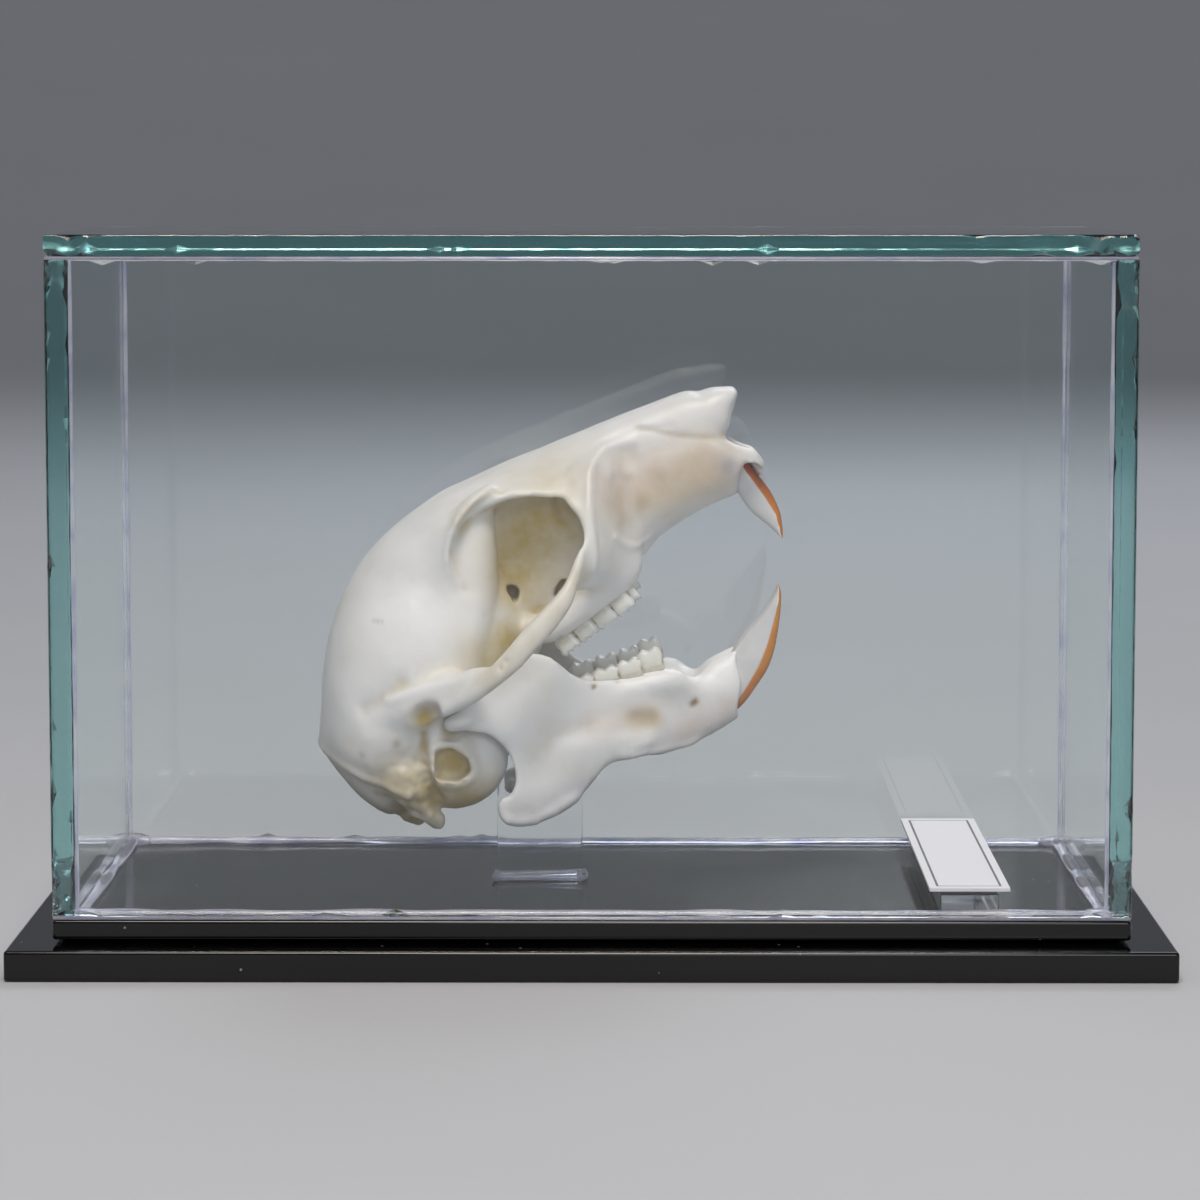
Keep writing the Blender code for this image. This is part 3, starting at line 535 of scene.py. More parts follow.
def cranium_hollows(bm):
    """Openings of the nose, throat, neck, ears, eyes and cheeks."""
    nose = [(39.5, 0.0, 3.6, 3.0, 2.8), (36.0, 0.0, 4.3, 2.6, 2.3), (28.5, 0.0, 5.6, 1.9, 1.9)]
    sweep(bm, nose, corner=0.9)
    throat = [(9.5, 0.0, 2.0, 1.7, 1.3), (6.0, 0.0, 0.4, 1.8, 1.6), (1.0, 0.0, -3.2, 2.0, 1.6)]
    sweep(bm, throat, corner=0.8)
    egg(bm, (-14.0, 0.0, -1.6), (3.6, 3.0, 2.5))
    egg(bm, (-9.5, 0.0, 0.5), (4.5, 5.0, 3.5))
    ear = [(-5.1, -0.3), (-3.5, -1.1), (-3.0, -2.9), (-3.5, -4.3), (-5.1, -4.2), (-6.8, -2.7)]
    optic = [(8.8, 7.1), (10.0, 7.2), (10.4, 6.1), (9.7, 5.3), (8.6, 5.5)]
    second = [(14.5, 4.4), (14.5, 3.4), (12.8, 2.9), (11.9, 3.1), (12.9, 4.0)]
    socket = [(34.5, 2.0), (35.5, 1.2), (35.6, -1.5), (31.4, -1.5), (32.2, 0.1)]
    for side in SIDES.values():
        window(bm, ear, 8.9, 12.5, side, taper=0.9)
        window(bm, optic, 0.5, 5.0, side)
        window(bm, second, 0.5, 5.0, side)
        window(bm, socket, 1.85, 6.0, side, taper=1.0)
        incisor_root = [(34.2, 1.15, 3.2, 0.7, 1.2), (33.65, 1.15, 1.0, 0.78, 1.34),
                        (33.55, 1.05, -1.5, 0.9, 1.45)]
        sweep(bm, mirrored(incisor_root, side), corner=0.75, up=FORWARD)
        egg(bm, (-3.5, 13.3 * side, 2.8), (1.8, 2.1, 1.4))
        egg(bm, (-1.3, 10.7 * side, 0.2), (2.6, 2.0, 1.5))


class Clay:
    """A bone's skin while it is shaped: its points, and the tints put on them, some of which are
    painted shade.
    """

    def __init__(self, mesh):
        self.mesh = mesh
        flat = np.empty(len(mesh.vertices) * 3, np.float32)
        mesh.vertices.foreach_get("co", flat)
        self.points = flat.reshape(-1, 3).astype(float)
        ends = np.empty(len(mesh.edges) * 2, np.int32)
        mesh.edges.foreach_get("vertices", ends)
        self.ends = ends.reshape(-1, 2).T
        self.tints = np.zeros((len(mesh.vertices), 4))
        self.settle()

    def settle(self):
        """Puts the moved points into the mesh and reads its normals again."""
        self.mesh.vertices.foreach_set("co", self.points.astype(np.float32).ravel())
        self.mesh.update()
        flat = np.empty(len(self.points) * 3, np.float32)
        self.mesh.vertex_normals.foreach_get("vector", flat)
        self.normals = flat.reshape(-1, 3).astype(float)

    def relaxed(self, rounds, share=0.5):
        """The points after each has moved towards the middle of its neighbours."""
        points, (one, other) = self.points.copy(), self.ends
        count = len(points)
        links = np.bincount(one, minlength=count) + np.bincount(other, minlength=count)
        for _ in range(rounds):
            for axis in range(3):
                values = points[:, axis]
                total = np.bincount(one, values[other], count)
                total += np.bincount(other, values[one], count)
                points[:, axis] += share * (total / links - values)
        return points

    def on_skin(self, path, side):
        """Puts a flat path on the outermost skin, as it is seen from one side."""
        line = []
        for x, z in curved(path, 4) if len(path) > 1 else [Vector(path[0])]:
            away = np.hypot(self.points[:, 0] - x, self.points[:, 2] - z)
            near = away < max(SKIN_SEARCH, away.min() + 0.01)
            line.append(np.array((x, (self.points[near, 1] * side).max() * side, z)))
        return line

    def mark(self, path, width, height=0.0, tint=None, strength=1.0, sides=(-1, 1)):
        """Raises, sinks or tints the skin along a path.

        Two numbers a point are a path on the skin, seen from the side. Three are a place in
        the skull.
        """
        for side in sides:
            if len(path[0]) == 3:
                line = [np.array((x, y * side, z)) for x, y, z in path]
            else:
                line = self.on_skin(path, side)
            reach = 3 * width
            low, high = np.min(line, axis=0) - reach, np.max(line, axis=0) + reach
            close = np.all((self.points > low) & (self.points < high), axis=1)
            points = self.points[close]
            nearest = np.full(len(points), np.inf)
            for start, end in zip(line, line[1:] or line):
                along = end - start
                share = np.clip((points - start) @ along / max(along @ along, 1e-9), 0, 1)
                gap = np.linalg.norm(points - start - share[:, None] * along, axis=1)
                nearest = np.minimum(nearest, gap)
            weight = np.exp(-((nearest / width) ** 2))
            if height:
                self.points[close] += self.normals[close] * (height * weight)[:, None]
            if tint is not None:
                self.tints[close, tint] = np.maximum(self.tints[close, tint], strength * weight)

    def soften(self, path, width, rounds, sides=(-1, 1)):
        """Rubs the skin smooth round a line of places in the skull."""
        line = np.array([tuple(point) for point in curved(path, 4)])
        for side in sides:
            spots = line * (1, side, 1)
            nearest = np.min([np.linalg.norm(self.points - spot, axis=1) for spot in spots], axis=0)
            share = np.exp(-((nearest / width) ** 2))[:, None]
            for _ in range(rounds):
                self.points += share * (self.relaxed(1, 0.9) - self.points)
        self.settle()

    def roughen(self, height, spacing, centre=None, reach=1.0):
        """The unevenness of grown bone, the same on every run, all over or round one place."""
        lumps = np.array([noise.noise(Vector(point / spacing)) for point in self.points]) * height
        if centre:
            away = np.linalg.norm(self.points * (1, 0, 1) - np.array(centre) * (1, 0, 1), axis=1)
            lumps *= np.exp(-((away / reach) ** 2))
        self.points += self.normals * lumps[:, None]

    def paint_shade_in_hollows(self, rounds, deepest):
        """Painted shade: an ivory tint wherever the skin lies lower than what is round it, the
        stronger the deeper it lies.
        """
        sunk = ((self.relaxed(rounds) - self.points) * self.normals).sum(axis=1)
        self.tints[:, IVORY_AND_SHADE] = np.maximum(self.tints[:, IVORY_AND_SHADE], np.clip(sunk / deepest, 0, 1))

    def finish(self, name, axes, material):
        self.settle()
        layer = self.mesh.color_attributes.new("tints", "FLOAT_COLOR", "POINT")
        layer.data.foreach_set("color", self.tints.astype(np.float32).ravel())
        self.mesh.transform(axes)
        self.mesh.materials.clear()
        self.mesh.materials.append(material)
        self.mesh.shade_smooth()
        made = bpy.data.objects.new(name, self.mesh)
        bpy.context.scene.collection.objects.link(made)
        return made


def skinned(bm, voxel, hollows=None):
    """One even skin round all that bm holds, less the hollows."""
    made = new_piece("clay", bm, None)
    if hollows:
        made.modifiers.new("skin", "REMESH").voxel_size = FIRST_SKIN
        cutter = new_piece("hollows", hollows, None)
        cutter.modifiers.new("one body", "REMESH").voxel_size = voxel
        cutting = made.modifiers.new("hollows", "BOOLEAN")
        cutting.operation, cutting.object = "DIFFERENCE", cutter
    made.modifiers.new("last skin", "REMESH").voxel_size = voxel
    graph = bpy.context.evaluated_depsgraph_get()
    mesh = bpy.data.meshes.new_from_object(made.evaluated_get(graph))
    bpy.data.objects.remove(made)
    if hollows:
        bpy.data.objects.remove(cutter)
    return Clay(mesh)


def bleached_bone():
    """Dry bone, degreased and bleached: chalky cream with a dull shine, ivory where it is deep; the
    ivory and a slate grey also paint the shade in hollows and on shaded sides.
    """
    made, tree, shader = surface("bleached_bone", "#e8e3d4", 0.42, IOR=1.5)
    where = add(tree, "TexCoord").outputs["Object"]
    tints = add(tree, "Attribute", attribute_name="tints")
    tint = add(tree, "SeparateColor", {"Color": tints.outputs["Color"]})
    patches = add(tree, "TexNoise", {"Vector": where, "Scale": 1 / 0.006, "Detail": 4.0})
    colour = add(tree, "ValToRGB", {"Fac": patches.outputs["Fac"]},
                 [(0.0, "#e4dfd0"), (0.45, "#edeae2"), (1.0, "#f4f4f4")]).outputs["Color"]
    blotches = add(tree, "TexNoise", {"Vector": where, "Scale": 1 / 0.0016, "Detail": 3.0})
    uneven = add(tree, "MapRange", {"Value": blotches.outputs["Fac"], "From Min": 0.3,
                                    "From Max": 0.7, "To Min": 0.7, "To Max": 1.0})
    # Layers over the cream: ivory, partly the bone's own tint and partly painted shade; rose; slate,
    # a grey mottle that also paints shade; and brown stains.
    layers = [
        (tint.outputs[0], "#c4ae68"),
        (tint.outputs[2], "#d5bfb0"),
        (tints.outputs["Alpha"], "#a5a5b0"),
        (tint.outputs[1], "#84662c"),
    ]
    for mask, hue in layers:
        amount = add(tree, "Math", {0: mask, 1: uneven.outputs[0]}, operation="MULTIPLY",
                     use_clamp=True)
        mixed = add(tree, "Mix", {0: amount.outputs[0], 6: colour, 7: linear(hue)},
                    data_type="RGBA")
        colour = mixed.outputs[2]
    tree.links.new(colour, shader.inputs["Base Color"])
    rough = add(tree, "MapRange", {"Value": blotches.outputs["Fac"], "To Min": 0.34,
                                   "To Max": 0.56})
    tree.links.new(rough.outputs[0], shader.inputs["Roughness"])
    # The pores are drawn coarser than real ones, so that they show.
    pores = add(tree, "TexNoise", {"Vector": where, "Scale": 1 / 0.00035, "Detail": 3.0})
    grain = add(tree, "Bump", {"Height": pores.outputs["Fac"], "Strength": 0.35,
                               "Distance": 0.00005})
    tree.links.new(grain.outputs["Normal"], shader.inputs["Normal"])
    return made


def shape_cranium(clay):
    """Smooth joins first, then ridges, seams and pits as paths seen from the side."""
    joins = [
        ([(5.2, 9.0, 15.6), (4.4, 9.4, 12.8), (4.6, 9.8, 10.0)], 2.0, 70),
        ([(18.8, 10.6, 7.0), (17.6, 11.6, 5.4), (16.2, 12.6, 4.2)], 1.4, 40),
        ([(16.0, 10.8, 2.6), (18.6, 9.6, 3.0), (20.4, 8.0, 2.4), (22.4, 6.4, 2.0)], 1.8, 60),
        ([(15.8, 9.2, 2.0), (17.4, 8.2, 1.8), (19.4, 7.2, 1.6)], 1.9, 80),
        ([(24.0, 5.6, 12.4), (27.0, 5.2, 11.2), (31.0, 4.8, 9.4), (33.6, 4.4, 7.6)], 1.4, 50),
        ([(27.0, 4.6, 10.4)], 1.6, 50),
        ([(0.6, 12.4, 3.8), (-3.0, 11.6, 5.0), (-7.0, 10.8, 6.0)], 1.5, 40),
        ([(2.4, 8.6, 15.0), (0.5, 9.6, 13.6)], 2.0, 60),
        ([(7.4, 9.4, 14.8), (6.0, 9.6, 13.6)], 1.1, 50),
        ([(8.6, 8.8, 13.0), (7.9, 9.0, 11.2), (7.4, 9.2, 9.4)], 1.3, 40),
        ([(-5.2, 11.4, 3.0)], 1.2, 30),
    ]
    for path, width, rounds in joins:
        clay.soften(path, width, rounds)
    plate_ridge = [(27.6, 10.4), (25.4, 11.6), (23.9, 11.4), (22.5, 10.2), (21.1, 8.6), (19.9, 6.7),
                   (18.9, 4.7), (17.8, 3.3)]
    clay.mark(plate_ridge, 0.5, 0.25)
    face_relief = [
        ([(26.2, 8.6), (24.6, 6.2), (23.0, 4.2)], 1.7, -0.4),
        ([(21.0, 4.3), (21.2, 3.2), (21.9, 2.2), (23.2, 2.0)], 0.4, 0.3),
        ([(19.4, 10.4), (19.6, 8.4), (18.6, 6.2), (16.6, 4.5)], 0.4, 0.15),
        ([(28.7, 11.3), (30.6, 8.9), (32.7, 6.7), (34.7, 5.2)], 0.3, -0.12),
        ([(31.6, 9.0), (28.5, 10.9), (25.4, 12.3), (21.0, 12.8)], 0.28, -0.08),
    ]
    for path, width, height in face_relief:
        clay.mark(path, width, height)
    clay.settle()
    head_relief = [
        ([(15.2, 14.9), (12.8, 15.5), (10.6, 15.2), (8.9, 14.4), (7.6, 13.3), (6.9, 11.9),
         (6.6, 10.4)], 0.35, 0.08),
        ([(9.0, 16.0), (5.0, 16.7), (1.0, 16.6)], 0.6, 0.1),
        ([(15.3, 14.9)], 0.45, -0.4),
        ([(8.2, 12.6), (7.0, 9.8)], 0.9, -0.18),
        ([(-14.3, 6.1), (-13.6, 4.8), (-12.6, 2.7), (-11.2, 0.3), (-9.8, -2.2)], 0.45, 0.3),
        ([(-4.8, 1.3), (-6.3, -0.3), (-7.4, -2.3), (-7.8, -4.4)], 0.45, -0.4),
        ([(-7.5, 6.9), (-5.6, 6.6), (-3.4, 6.7)], 0.9, -0.2),
        ([(2.6, 3.9), (0.6, 4.0), (-1.8, 5.0), (-5.2, 6.1)], 0.5, 0.2),
        ([(-5.1, 0.2), (-3.2, -0.6), (-2.6, -2.8), (-3.2, -4.7), (-5.2, -4.8)], 0.4, 0.12),
        ([(-10.4, 2.6), (-9.0, 4.2)], 1.2, 0.2),
    ]
    for path, width, height in head_relief:
        clay.mark(path, width, height)
    for x, z in ((6.9, 6.2), (8.2, 4.5), (6.0, 2.4), (5.3, 2.2)):
        clay.mark([(x, z)], 0.28, -0.3)
    for x, z in ((16.3, -0.8), (14.1, -0.7), (11.85, -0.5)):
        clay.mark([(x, z)], 0.28, -0.25)
    clay.settle()
    clay.roughen(0.06, 2.6)
    clay.roughen(0.018, 0.7)
    clay.roughen(0.5, 1.1, (-10.2, 0, -4.6), 2.6)
    clay.roughen(0.22, 0.7, (-7.5, 0, -1.5), 2.4)
    clay.settle()


def tint_cranium(clay):
    """Ivory in the deep and shaded places, as a tint that also paints their shade; rose on the
    snout; and the brown of old blood and grease.
    """
    # Painted shade: ivory wherever the skin is sunk.
    clay.paint_shade_in_hollows(18, 0.2)
    tints = [
        # These ivory marks paint shade as well as tint: in the orbit, under the brow, along the
        # arch, on the neck, round the ear and low on the snout.
        ([(11.0, 4.4, 8.0), (14.0, 4.0, 9.5), (17.5, 5.0, 9.5)], 4.8, IVORY_AND_SHADE, 1.1),
        ([(19.6, 6.0, 9.5), (19.0, 6.6, 7.0)], 2.6, IVORY_AND_SHADE, 1.0),
        ([(3.6, 8.0, 3.6), (6.5, 6.5, 3.0)], 2.8, IVORY_AND_SHADE, 1.1),
        ([(16.0, 12.4, 4.2), (11.5, 14.4, 2.6), (4.0, 15.2, 1.8)], 2.0, IVORY_AND_SHADE, 0.45),
        ([(10.2, 15.1), (12.8, 15.5), (15.2, 14.9)], 0.7, IVORY_AND_SHADE, 0.45),
        ([(-13.0, 3.0, 1.5), (-12.0, 3.0, -2.5), (-10.0, 5.0, -4.5)], 3.8, IVORY_AND_SHADE, 1.1),
        ([(-9.0, 9.0, -1.0), (-8.0, 8.5, -3.5), (-5.5, 8.5, -6.0)], 3.0, IVORY_AND_SHADE, 1.0),
        ([(24.0, 7.5, 6.0), (27.5, 5.5, 5.0), (31.0, 4.5, 4.0)], 2.8, IVORY_AND_SHADE, 0.75),
        # A brown stain along the neck crest that also paints the darker shade there.
        ([(-14.0, 4.6), (-12.0, 1.6), (-10.4, -1.2), (-9.6, -3.6)], 1.6, STAIN, 0.22),
        ([(27.6, 6.3)], 0.8, STAIN, 0.2),
        ([(-4.6, 9.4, -2.4)], 2.0, IVORY_AND_SHADE, 1.3),
        ([(-4.4, 9.2, -2.9)], 1.3, STAIN, 0.3),
        ([(-3.6, 11.6, 2.7)], 1.3, IVORY_AND_SHADE, 1.3),
        ([(-4.6, 1.4), (-6.2, -0.2), (-7.3, -2.4), (-7.7, -4.6)], 0.5, STAIN, 0.45),
        ([(-12.1, -0.2), (-11.4, -1.4), (-9.4, -3.2)], 0.45, STAIN, 0.7),
        ([(-7.3, 2.4)], 0.5, STAIN, 0.5),
        ([(-10.7, 3.6)], 0.4, STAIN, 0.45),
        ([(23.5, 7.5), (26.5, 6.8), (30.0, 5.0), (32.5, 3.4)], 2.8, ROSE, 0.65),
        ([(28.7, 11.3), (30.6, 8.9), (32.7, 6.7), (34.7, 5.2)], 0.35, STAIN, 0.3),
        ([(33.3, 2.7)], 0.9, SLATE_AND_SHADE, 0.8),
        ([(25.2, 8.1)], 0.6, STAIN, 0.35),
        ([(24.8, 5.3)], 0.8, STAIN, 0.25),
        ([(18.4, 10.7), (17.7, 8.9)], 0.5, STAIN, 0.35),
        ([(34.4, 1.6), (33.2, 0.4)], 0.5, STAIN, 0.6),
    ]
    for path, width, tint, strength in tints:
        clay.mark(path, width, 0.0, tint, strength)
    for x, z in ((16.3, -0.8), (14.1, -0.7), (11.85, -0.5), (10.6, -0.1)):
        clay.mark([(x, z)], 0.36, 0.0, STAIN, 1.3)
    clay.mark([(-1.8, 12.9), (-1.1, 12.3)], 0.16, -0.06, STAIN, 1.0, sides=(-1,))


def build_cranium(material):
    bm = bmesh.new()
    for build in (braincase, vault, nasals, face, skull_base):
        build(bm)
    for side in SIDES.values():
        for build in (orbit_pillar, cheek_plate, cheek_arch, brow_horn, upper_jaw_ridge,
                      ear_capsule, back_of_head):
            build(bm, side)
    hollows = bmesh.new()
    cranium_hollows(hollows)
    clay = skinned(bm, LAST_SKIN, hollows)
    clay.points = clay.relaxed(4)
    clay.settle()
    shape_cranium(clay)
    tint_cranium(clay)
    return clay.finish("cranium_bone", bone_axes(CRANIUM_PLACE, CRANIUM_TILT), material)


bone = bleached_bone()
dress(build_cranium(bone), "dry_bone", "cranium")

# Lower jaw. Two halves of the same cleaned bone, each a thick bar with the incisor's root in
# it and a thin blade behind, that spread towards the back. They hang wide open at the joint.
JAW_PLACE, JAW_TILT = (0.0006, 0.0, 0.02263), radians(16.0)
JAW_SKIN = 0.2  # units
JAW_HALF_THICKNESS = 0.6
JAW_OUTLINE = [
    (-13.2, 3.6), (-11.6, 4.6), (-9.8, 5.3), (-8.2, 6.0), (-6.7, 7.3), (-5.2, 7.3), (-3.0, 6.3),
    (-0.6, 3.2), (5.0, 1.6), (8.5, 0.2), (9.0, -5.2), (6.4, -6.0), (0.3, -5.3), (-1.9, -6.2),
    (-4.2, -7.5), (-6.4, -8.2), (-9.1, -8.4), (-10.9, -7.8), (-11.7, -6.6), (-11.2, -5.2),
    (-10.0, -5.0), (-9.2, -3.4), (-9.3, -1.0), (-10.4, 1.0), (-12.6, 2.2),
]


def jaw_y(x):
    """Distance of the blade from the skull's middle: the halves spread towards the back."""
    return 10.6 - 9.1 * max((x + 13.0) / 27.0, 0.0) ** 1.25


def jaw_blade(bm, side):
    """The thin blade behind the teeth, cut into strips so that it can bend outwards."""
    closed = curved(JAW_OUTLINE + JAW_OUTLINE[:1], 3)[:-1]
    face = bm.faces.new([bm.verts.new((x, -JAW_HALF_THICKNESS, z)) for x, z in closed])
    draw_out(bm, [face], (0, 2 * JAW_HALF_THICKNESS, 0))
    for x in range(-12, 9):
        everything = list(bm.verts) + list(bm.edges) + list(bm.faces)
        bmesh.ops.bisect_plane(bm, geom=everything, plane_co=(x, 0, 0), plane_no=(1, 0, 0))
    for vert in bm.verts:
        vert.co.y = (jaw_y(vert.co.x) + vert.co.y) * side


def jaw_body(bm, side):
    """The thick bar with the incisor's root in it, and the ridge that holds the teeth."""
    body = [
        (15.2, 1.8, -0.3, 1.0, 2.0), (12.6, 2.0, -1.7, 1.6, 2.9), (10.0, 2.7, -2.75, 1.6, 2.85),
        (7.5, 3.6, -2.6, 1.7, 3.4), (4.5, 4.6, -2.35, 1.8, 3.7), (1.5, 5.8, -2.4, 1.8, 2.8),
        (-2.0, 7.4, -2.6, 1.4, 2.0), (-5.0, 8.6, -2.6, 0.9, 1.2),
    ]
    sweep(bm, mirrored(body, side), corner=0.9)
    ridge = [
        (9.8, 3.4, -1.6, 1.0, 0.8), (8.2, 4.2, -0.5, 1.6, 1.2), (6.8, 4.6, 0.5, 1.9, 1.4),
        (3.0, 5.0, 0.6, 1.95, 1.5), (-1.0, 5.5, 0.6, 1.9, 1.5), (-3.2, 6.6, 0.8, 1.5, 1.1),
    ]
    sweep(bm, mirrored(ridge, side), corner=0.8)
    egg(bm, (8.3, 4.0 * side, -1.3), (2.4, 1.25, 1.5))


def jaw_ends(bm, side):
    """Condyle head, and the thickened hook of the angle."""
    egg(bm, (-12.7, 10.5 * side, 3.0), (1.7, 1.3, 0.9))
    hook = [
        (-4.5, 8.3, -7.0, 0.8, 0.8), (-7.5, 9.0, -7.7, 0.9, 0.8), (-10.0, 8.8, -7.4, 1.0, 0.8),
        (-11.3, 8.2, -6.2, 0.8, 0.8),
    ]
    sweep(bm, mirrored(hook, side))


def build_jaw(name, side, material):
    bm = bmesh.new()
    for build in (jaw_blade, jaw_body, jaw_ends):
        build(bm, side)
    rim = [(14.5, 3.0), (14.3, 1.6), (13.8, 0.6), (13.75, -1.6), (13.2, -2.8), (12.6, -4.0),
           (12.5, -7.0), (18.0, -7.0), (18.0, 3.0)]
    front = bmesh.new()
    window(front, rim, -1.0, 6.0, side, taper=1.0)
    clay = skinned(bm, JAW_SKIN, front)
    clay.points = clay.relaxed(4)
    clay.settle()
    clay.soften([(9.4, 4.6, -0.6), (6.0, 6.3, -0.4), (1.0, 7.0, 0.0), (-2.5, 8.0, 0.6)], 1.6, 40,
                (side,))
    clay.soften([(9.8, 4.2, -1.4), (7.6, 5.2, -1.8), (5.0, 6.2, -1.8)], 1.7, 70, (side,))
    clay.mark([(2.8, -1.9), (0.0, -2.0), (-4.0, -1.8), (-6.5, -3.0)], 2.0, -0.4, sides=(side,))
    clay.mark([(4.2, -2.2), (2.2, -1.9)], 1.4, -0.1, sides=(side,))
    clay.soften([(-0.6, 7.9, -4.4), (-3.0, 8.6, -4.4), (-5.0, 9.2, -3.6)], 1.7, 60, (side,))
    marks = [
        ([(3.2, -0.7), (4.8, -1.3), (5.4, -2.3), (4.8, -3.5), (3.2, -4.5), (1.4, -5.1)], 0.8, 0.12,
         None, 1.0),
        ([(9.1, -2.05), (8.8, -2.15)], 0.36, -0.16, STAIN, 1.1),
        ([(-4.2, -7.2), (-6.4, -7.8), (-9.1, -8.0), (-10.9, -7.4)], 0.6, 0.2, None, 1.0),
        ([(-1.0, -1.2), (1.6, -1.4), (4.4, -2.0)], 1.3, 0.0, ROSE, 0.5),
        # Ivory painted in the recess of the muscle fossa as its shade.
        ([(3.2, -1.8), (4.6, -2.2)], 1.0, 0.0, IVORY_AND_SHADE, 0.9),
        ([(7.0, -4.4), (10.6, -4.0), (11.8, -3.4)], 1.3, 0.0, ROSE, 0.5),
        # Slate along the lower edge of the angle paints the shade under it.
        ([(-3.0, -6.2), (-6.4, -7.2), (-10.0, -7.2)], 2.0, 0.0, SLATE_AND_SHADE, 0.6),
    ]
    sockets = [([(x, 2.35)], 0.3, -0.25, STAIN, 1.1) for x in (4.9, 2.55, 0.3)]
    for path, width, height, tint, strength in marks + sockets:
        clay.mark(path, width, height, tint, strength, sides=(side,))
    clay.settle()
    clay.roughen(0.05, 2.2)
    clay.roughen(0.012, 0.6)
    # Painted shade: ivory in the jaw's hollows.
    clay.paint_shade_in_hollows(14, 0.16)
    return clay.finish(name, bone_axes(JAW_PLACE, JAW_TILT), material)


for side_name, side in SIDES.items():
    half = build_jaw(f"jaw_half_{side_name}", side, bone)
    dress(half, "dry_bone", f"mandible_{side_name}")

# Incisors. Four curved gnawing teeth, rooted deep in the jaws: dentine, with a thick layer
# of orange enamel grown on the front face only, worn to a chisel at the tip.
UPPER_INCISOR = [
    (33.9, 1.15, 2.4, 0.60, 1.10), (33.6, 1.15, 1.0, 0.62, 1.20), (33.5, 1.05, -0.6, 0.75, 1.30),
    (33.4, 0.95, -2.2, 0.75, 1.30), (33.35, 0.92, -3.8, 0.72, 0.95),
    (33.1, 0.90, -5.2, 0.68, 0.45), (32.85, 0.90, -6.1, 0.60, 0.10),
]
LOWER_INCISOR = [
    (11.6, 1.50, -3.9, 0.50, 0.80), (12.6, 1.50, -2.9, 0.60, 1.25),
    (13.9, 1.42, -1.45, 0.68, 1.60), (15.15, 1.30, 0.0, 0.74, 1.85),
    (16.45, 1.10, 1.4, 0.75, 1.60), (17.8, 0.95, 2.95, 0.74, 1.05), (18.85, 0.90, 4.4, 0.70, 0.60),
    (19.5, 0.88, 5.5, 0.62, 0.26), (19.62, 0.88, 6.1, 0.55, 0.08),
]
ENAMEL_DEPTH, ENAMEL_SHARE = 0.25, 0.35  # units, and share of the tooth's half depth


def orange_enamel(name, root, tip):
    """Glossy enamel, redder at the root, over bluish dentine that is worn a little dull."""
    made, tree, shader = surface(name, "#d8d8dc", 0.2, IOR=1.6)
    where = add(tree, "TexCoord").outputs["Object"]
    front = add(tree, "Attribute", attribute_name="enamel")
    down = add(tree, "Attribute", attribute_name="down")
    uneven = add(tree, "TexNoise", {"Vector": where, "Scale": 1 / 0.0009, "Detail": 3.0})
    streaks = add(tree, "Math", {0: uneven.outputs["Fac"], 1: 0.5, 2: down.outputs["Fac"]},
                  operation="MULTIPLY_ADD")
    deep = add(tree, "Math", {0: front.outputs["Fac"], 1: -0.7, 2: streaks.outputs[0]},
               operation="MULTIPLY_ADD")
    enamel = add(tree, "ValToRGB", {"Fac": deep.outputs[0]}, [(0.0, root), (0.9, tip)])
    dentine = add(tree, "ValToRGB", {"Fac": uneven.outputs["Fac"]},
                  [(0.0, "#cfd0d6"), (1.0, "#e4e3e0")])
    cover = add(tree, "MapRange", {"Value": front.outputs["Fac"], "From Min": -0.05,
                                   "From Max": 0.05})
    colour = add(tree, "Mix", {0: cover.outputs[0], 6: dentine.outputs["Color"],
                               7: enamel.outputs["Color"]}, data_type="RGBA")
    tree.links.new(colour.outputs[2], shader.inputs["Base Color"])
    rough = add(tree, "MapRange", {"Value": cover.outputs[0], "To Min": 0.32, "To Max": 0.16})
    tree.links.new(rough.outputs[0], shader.inputs["Roughness"])
    return made


def build_incisor(name, stations, side, material, axes):
    """The enamel is nearly as thick at the tip as at the root."""
    bm = bmesh.new()
    front = bm.verts.layers.float.new("enamel")
    down = bm.verts.layers.float.new("down")
    rows = sweep(bm, mirrored(stations, side), corner=0.75, sides=32, up=FORWARD)
    for level, row in enumerate(rows):
        quarter = len(row) // 4
        depth = (row[quarter].co - row[-quarter].co) / 2
        middle = (row[quarter].co + row[-quarter].co) / 2
        edge = 1.0 - ENAMEL_SHARE - min(ENAMEL_DEPTH / depth.length, 1.0)
        for vert in row:
            vert[front] = (vert.co - middle).dot(depth) / depth.length_squared - edge
            vert[down] = level / (len(rows) - 1)
    bm.transform(axes)
    return new_piece(name, bm, material)


for jaw, stations, place, tilt, root, tip in (
    ("upper", UPPER_INCISOR, CRANIUM_PLACE, CRANIUM_TILT, "#a04420", "#d8862c"),
    ("lower", LOWER_INCISOR, JAW_PLACE, JAW_TILT, "#bb6a1c", "#dd9230"),
):
    enamel = orange_enamel(f"{jaw}_incisor_enamel", root, tip)
    for side_name, side in SIDES.items():
        incisor = build_incisor(f"{jaw}_gnawing_tooth_{side_name}", stations, side, enamel,
                                bone_axes(place, tilt))
        dress(incisor, "orange_enamel", f"{jaw}_incisor_{side_name}")

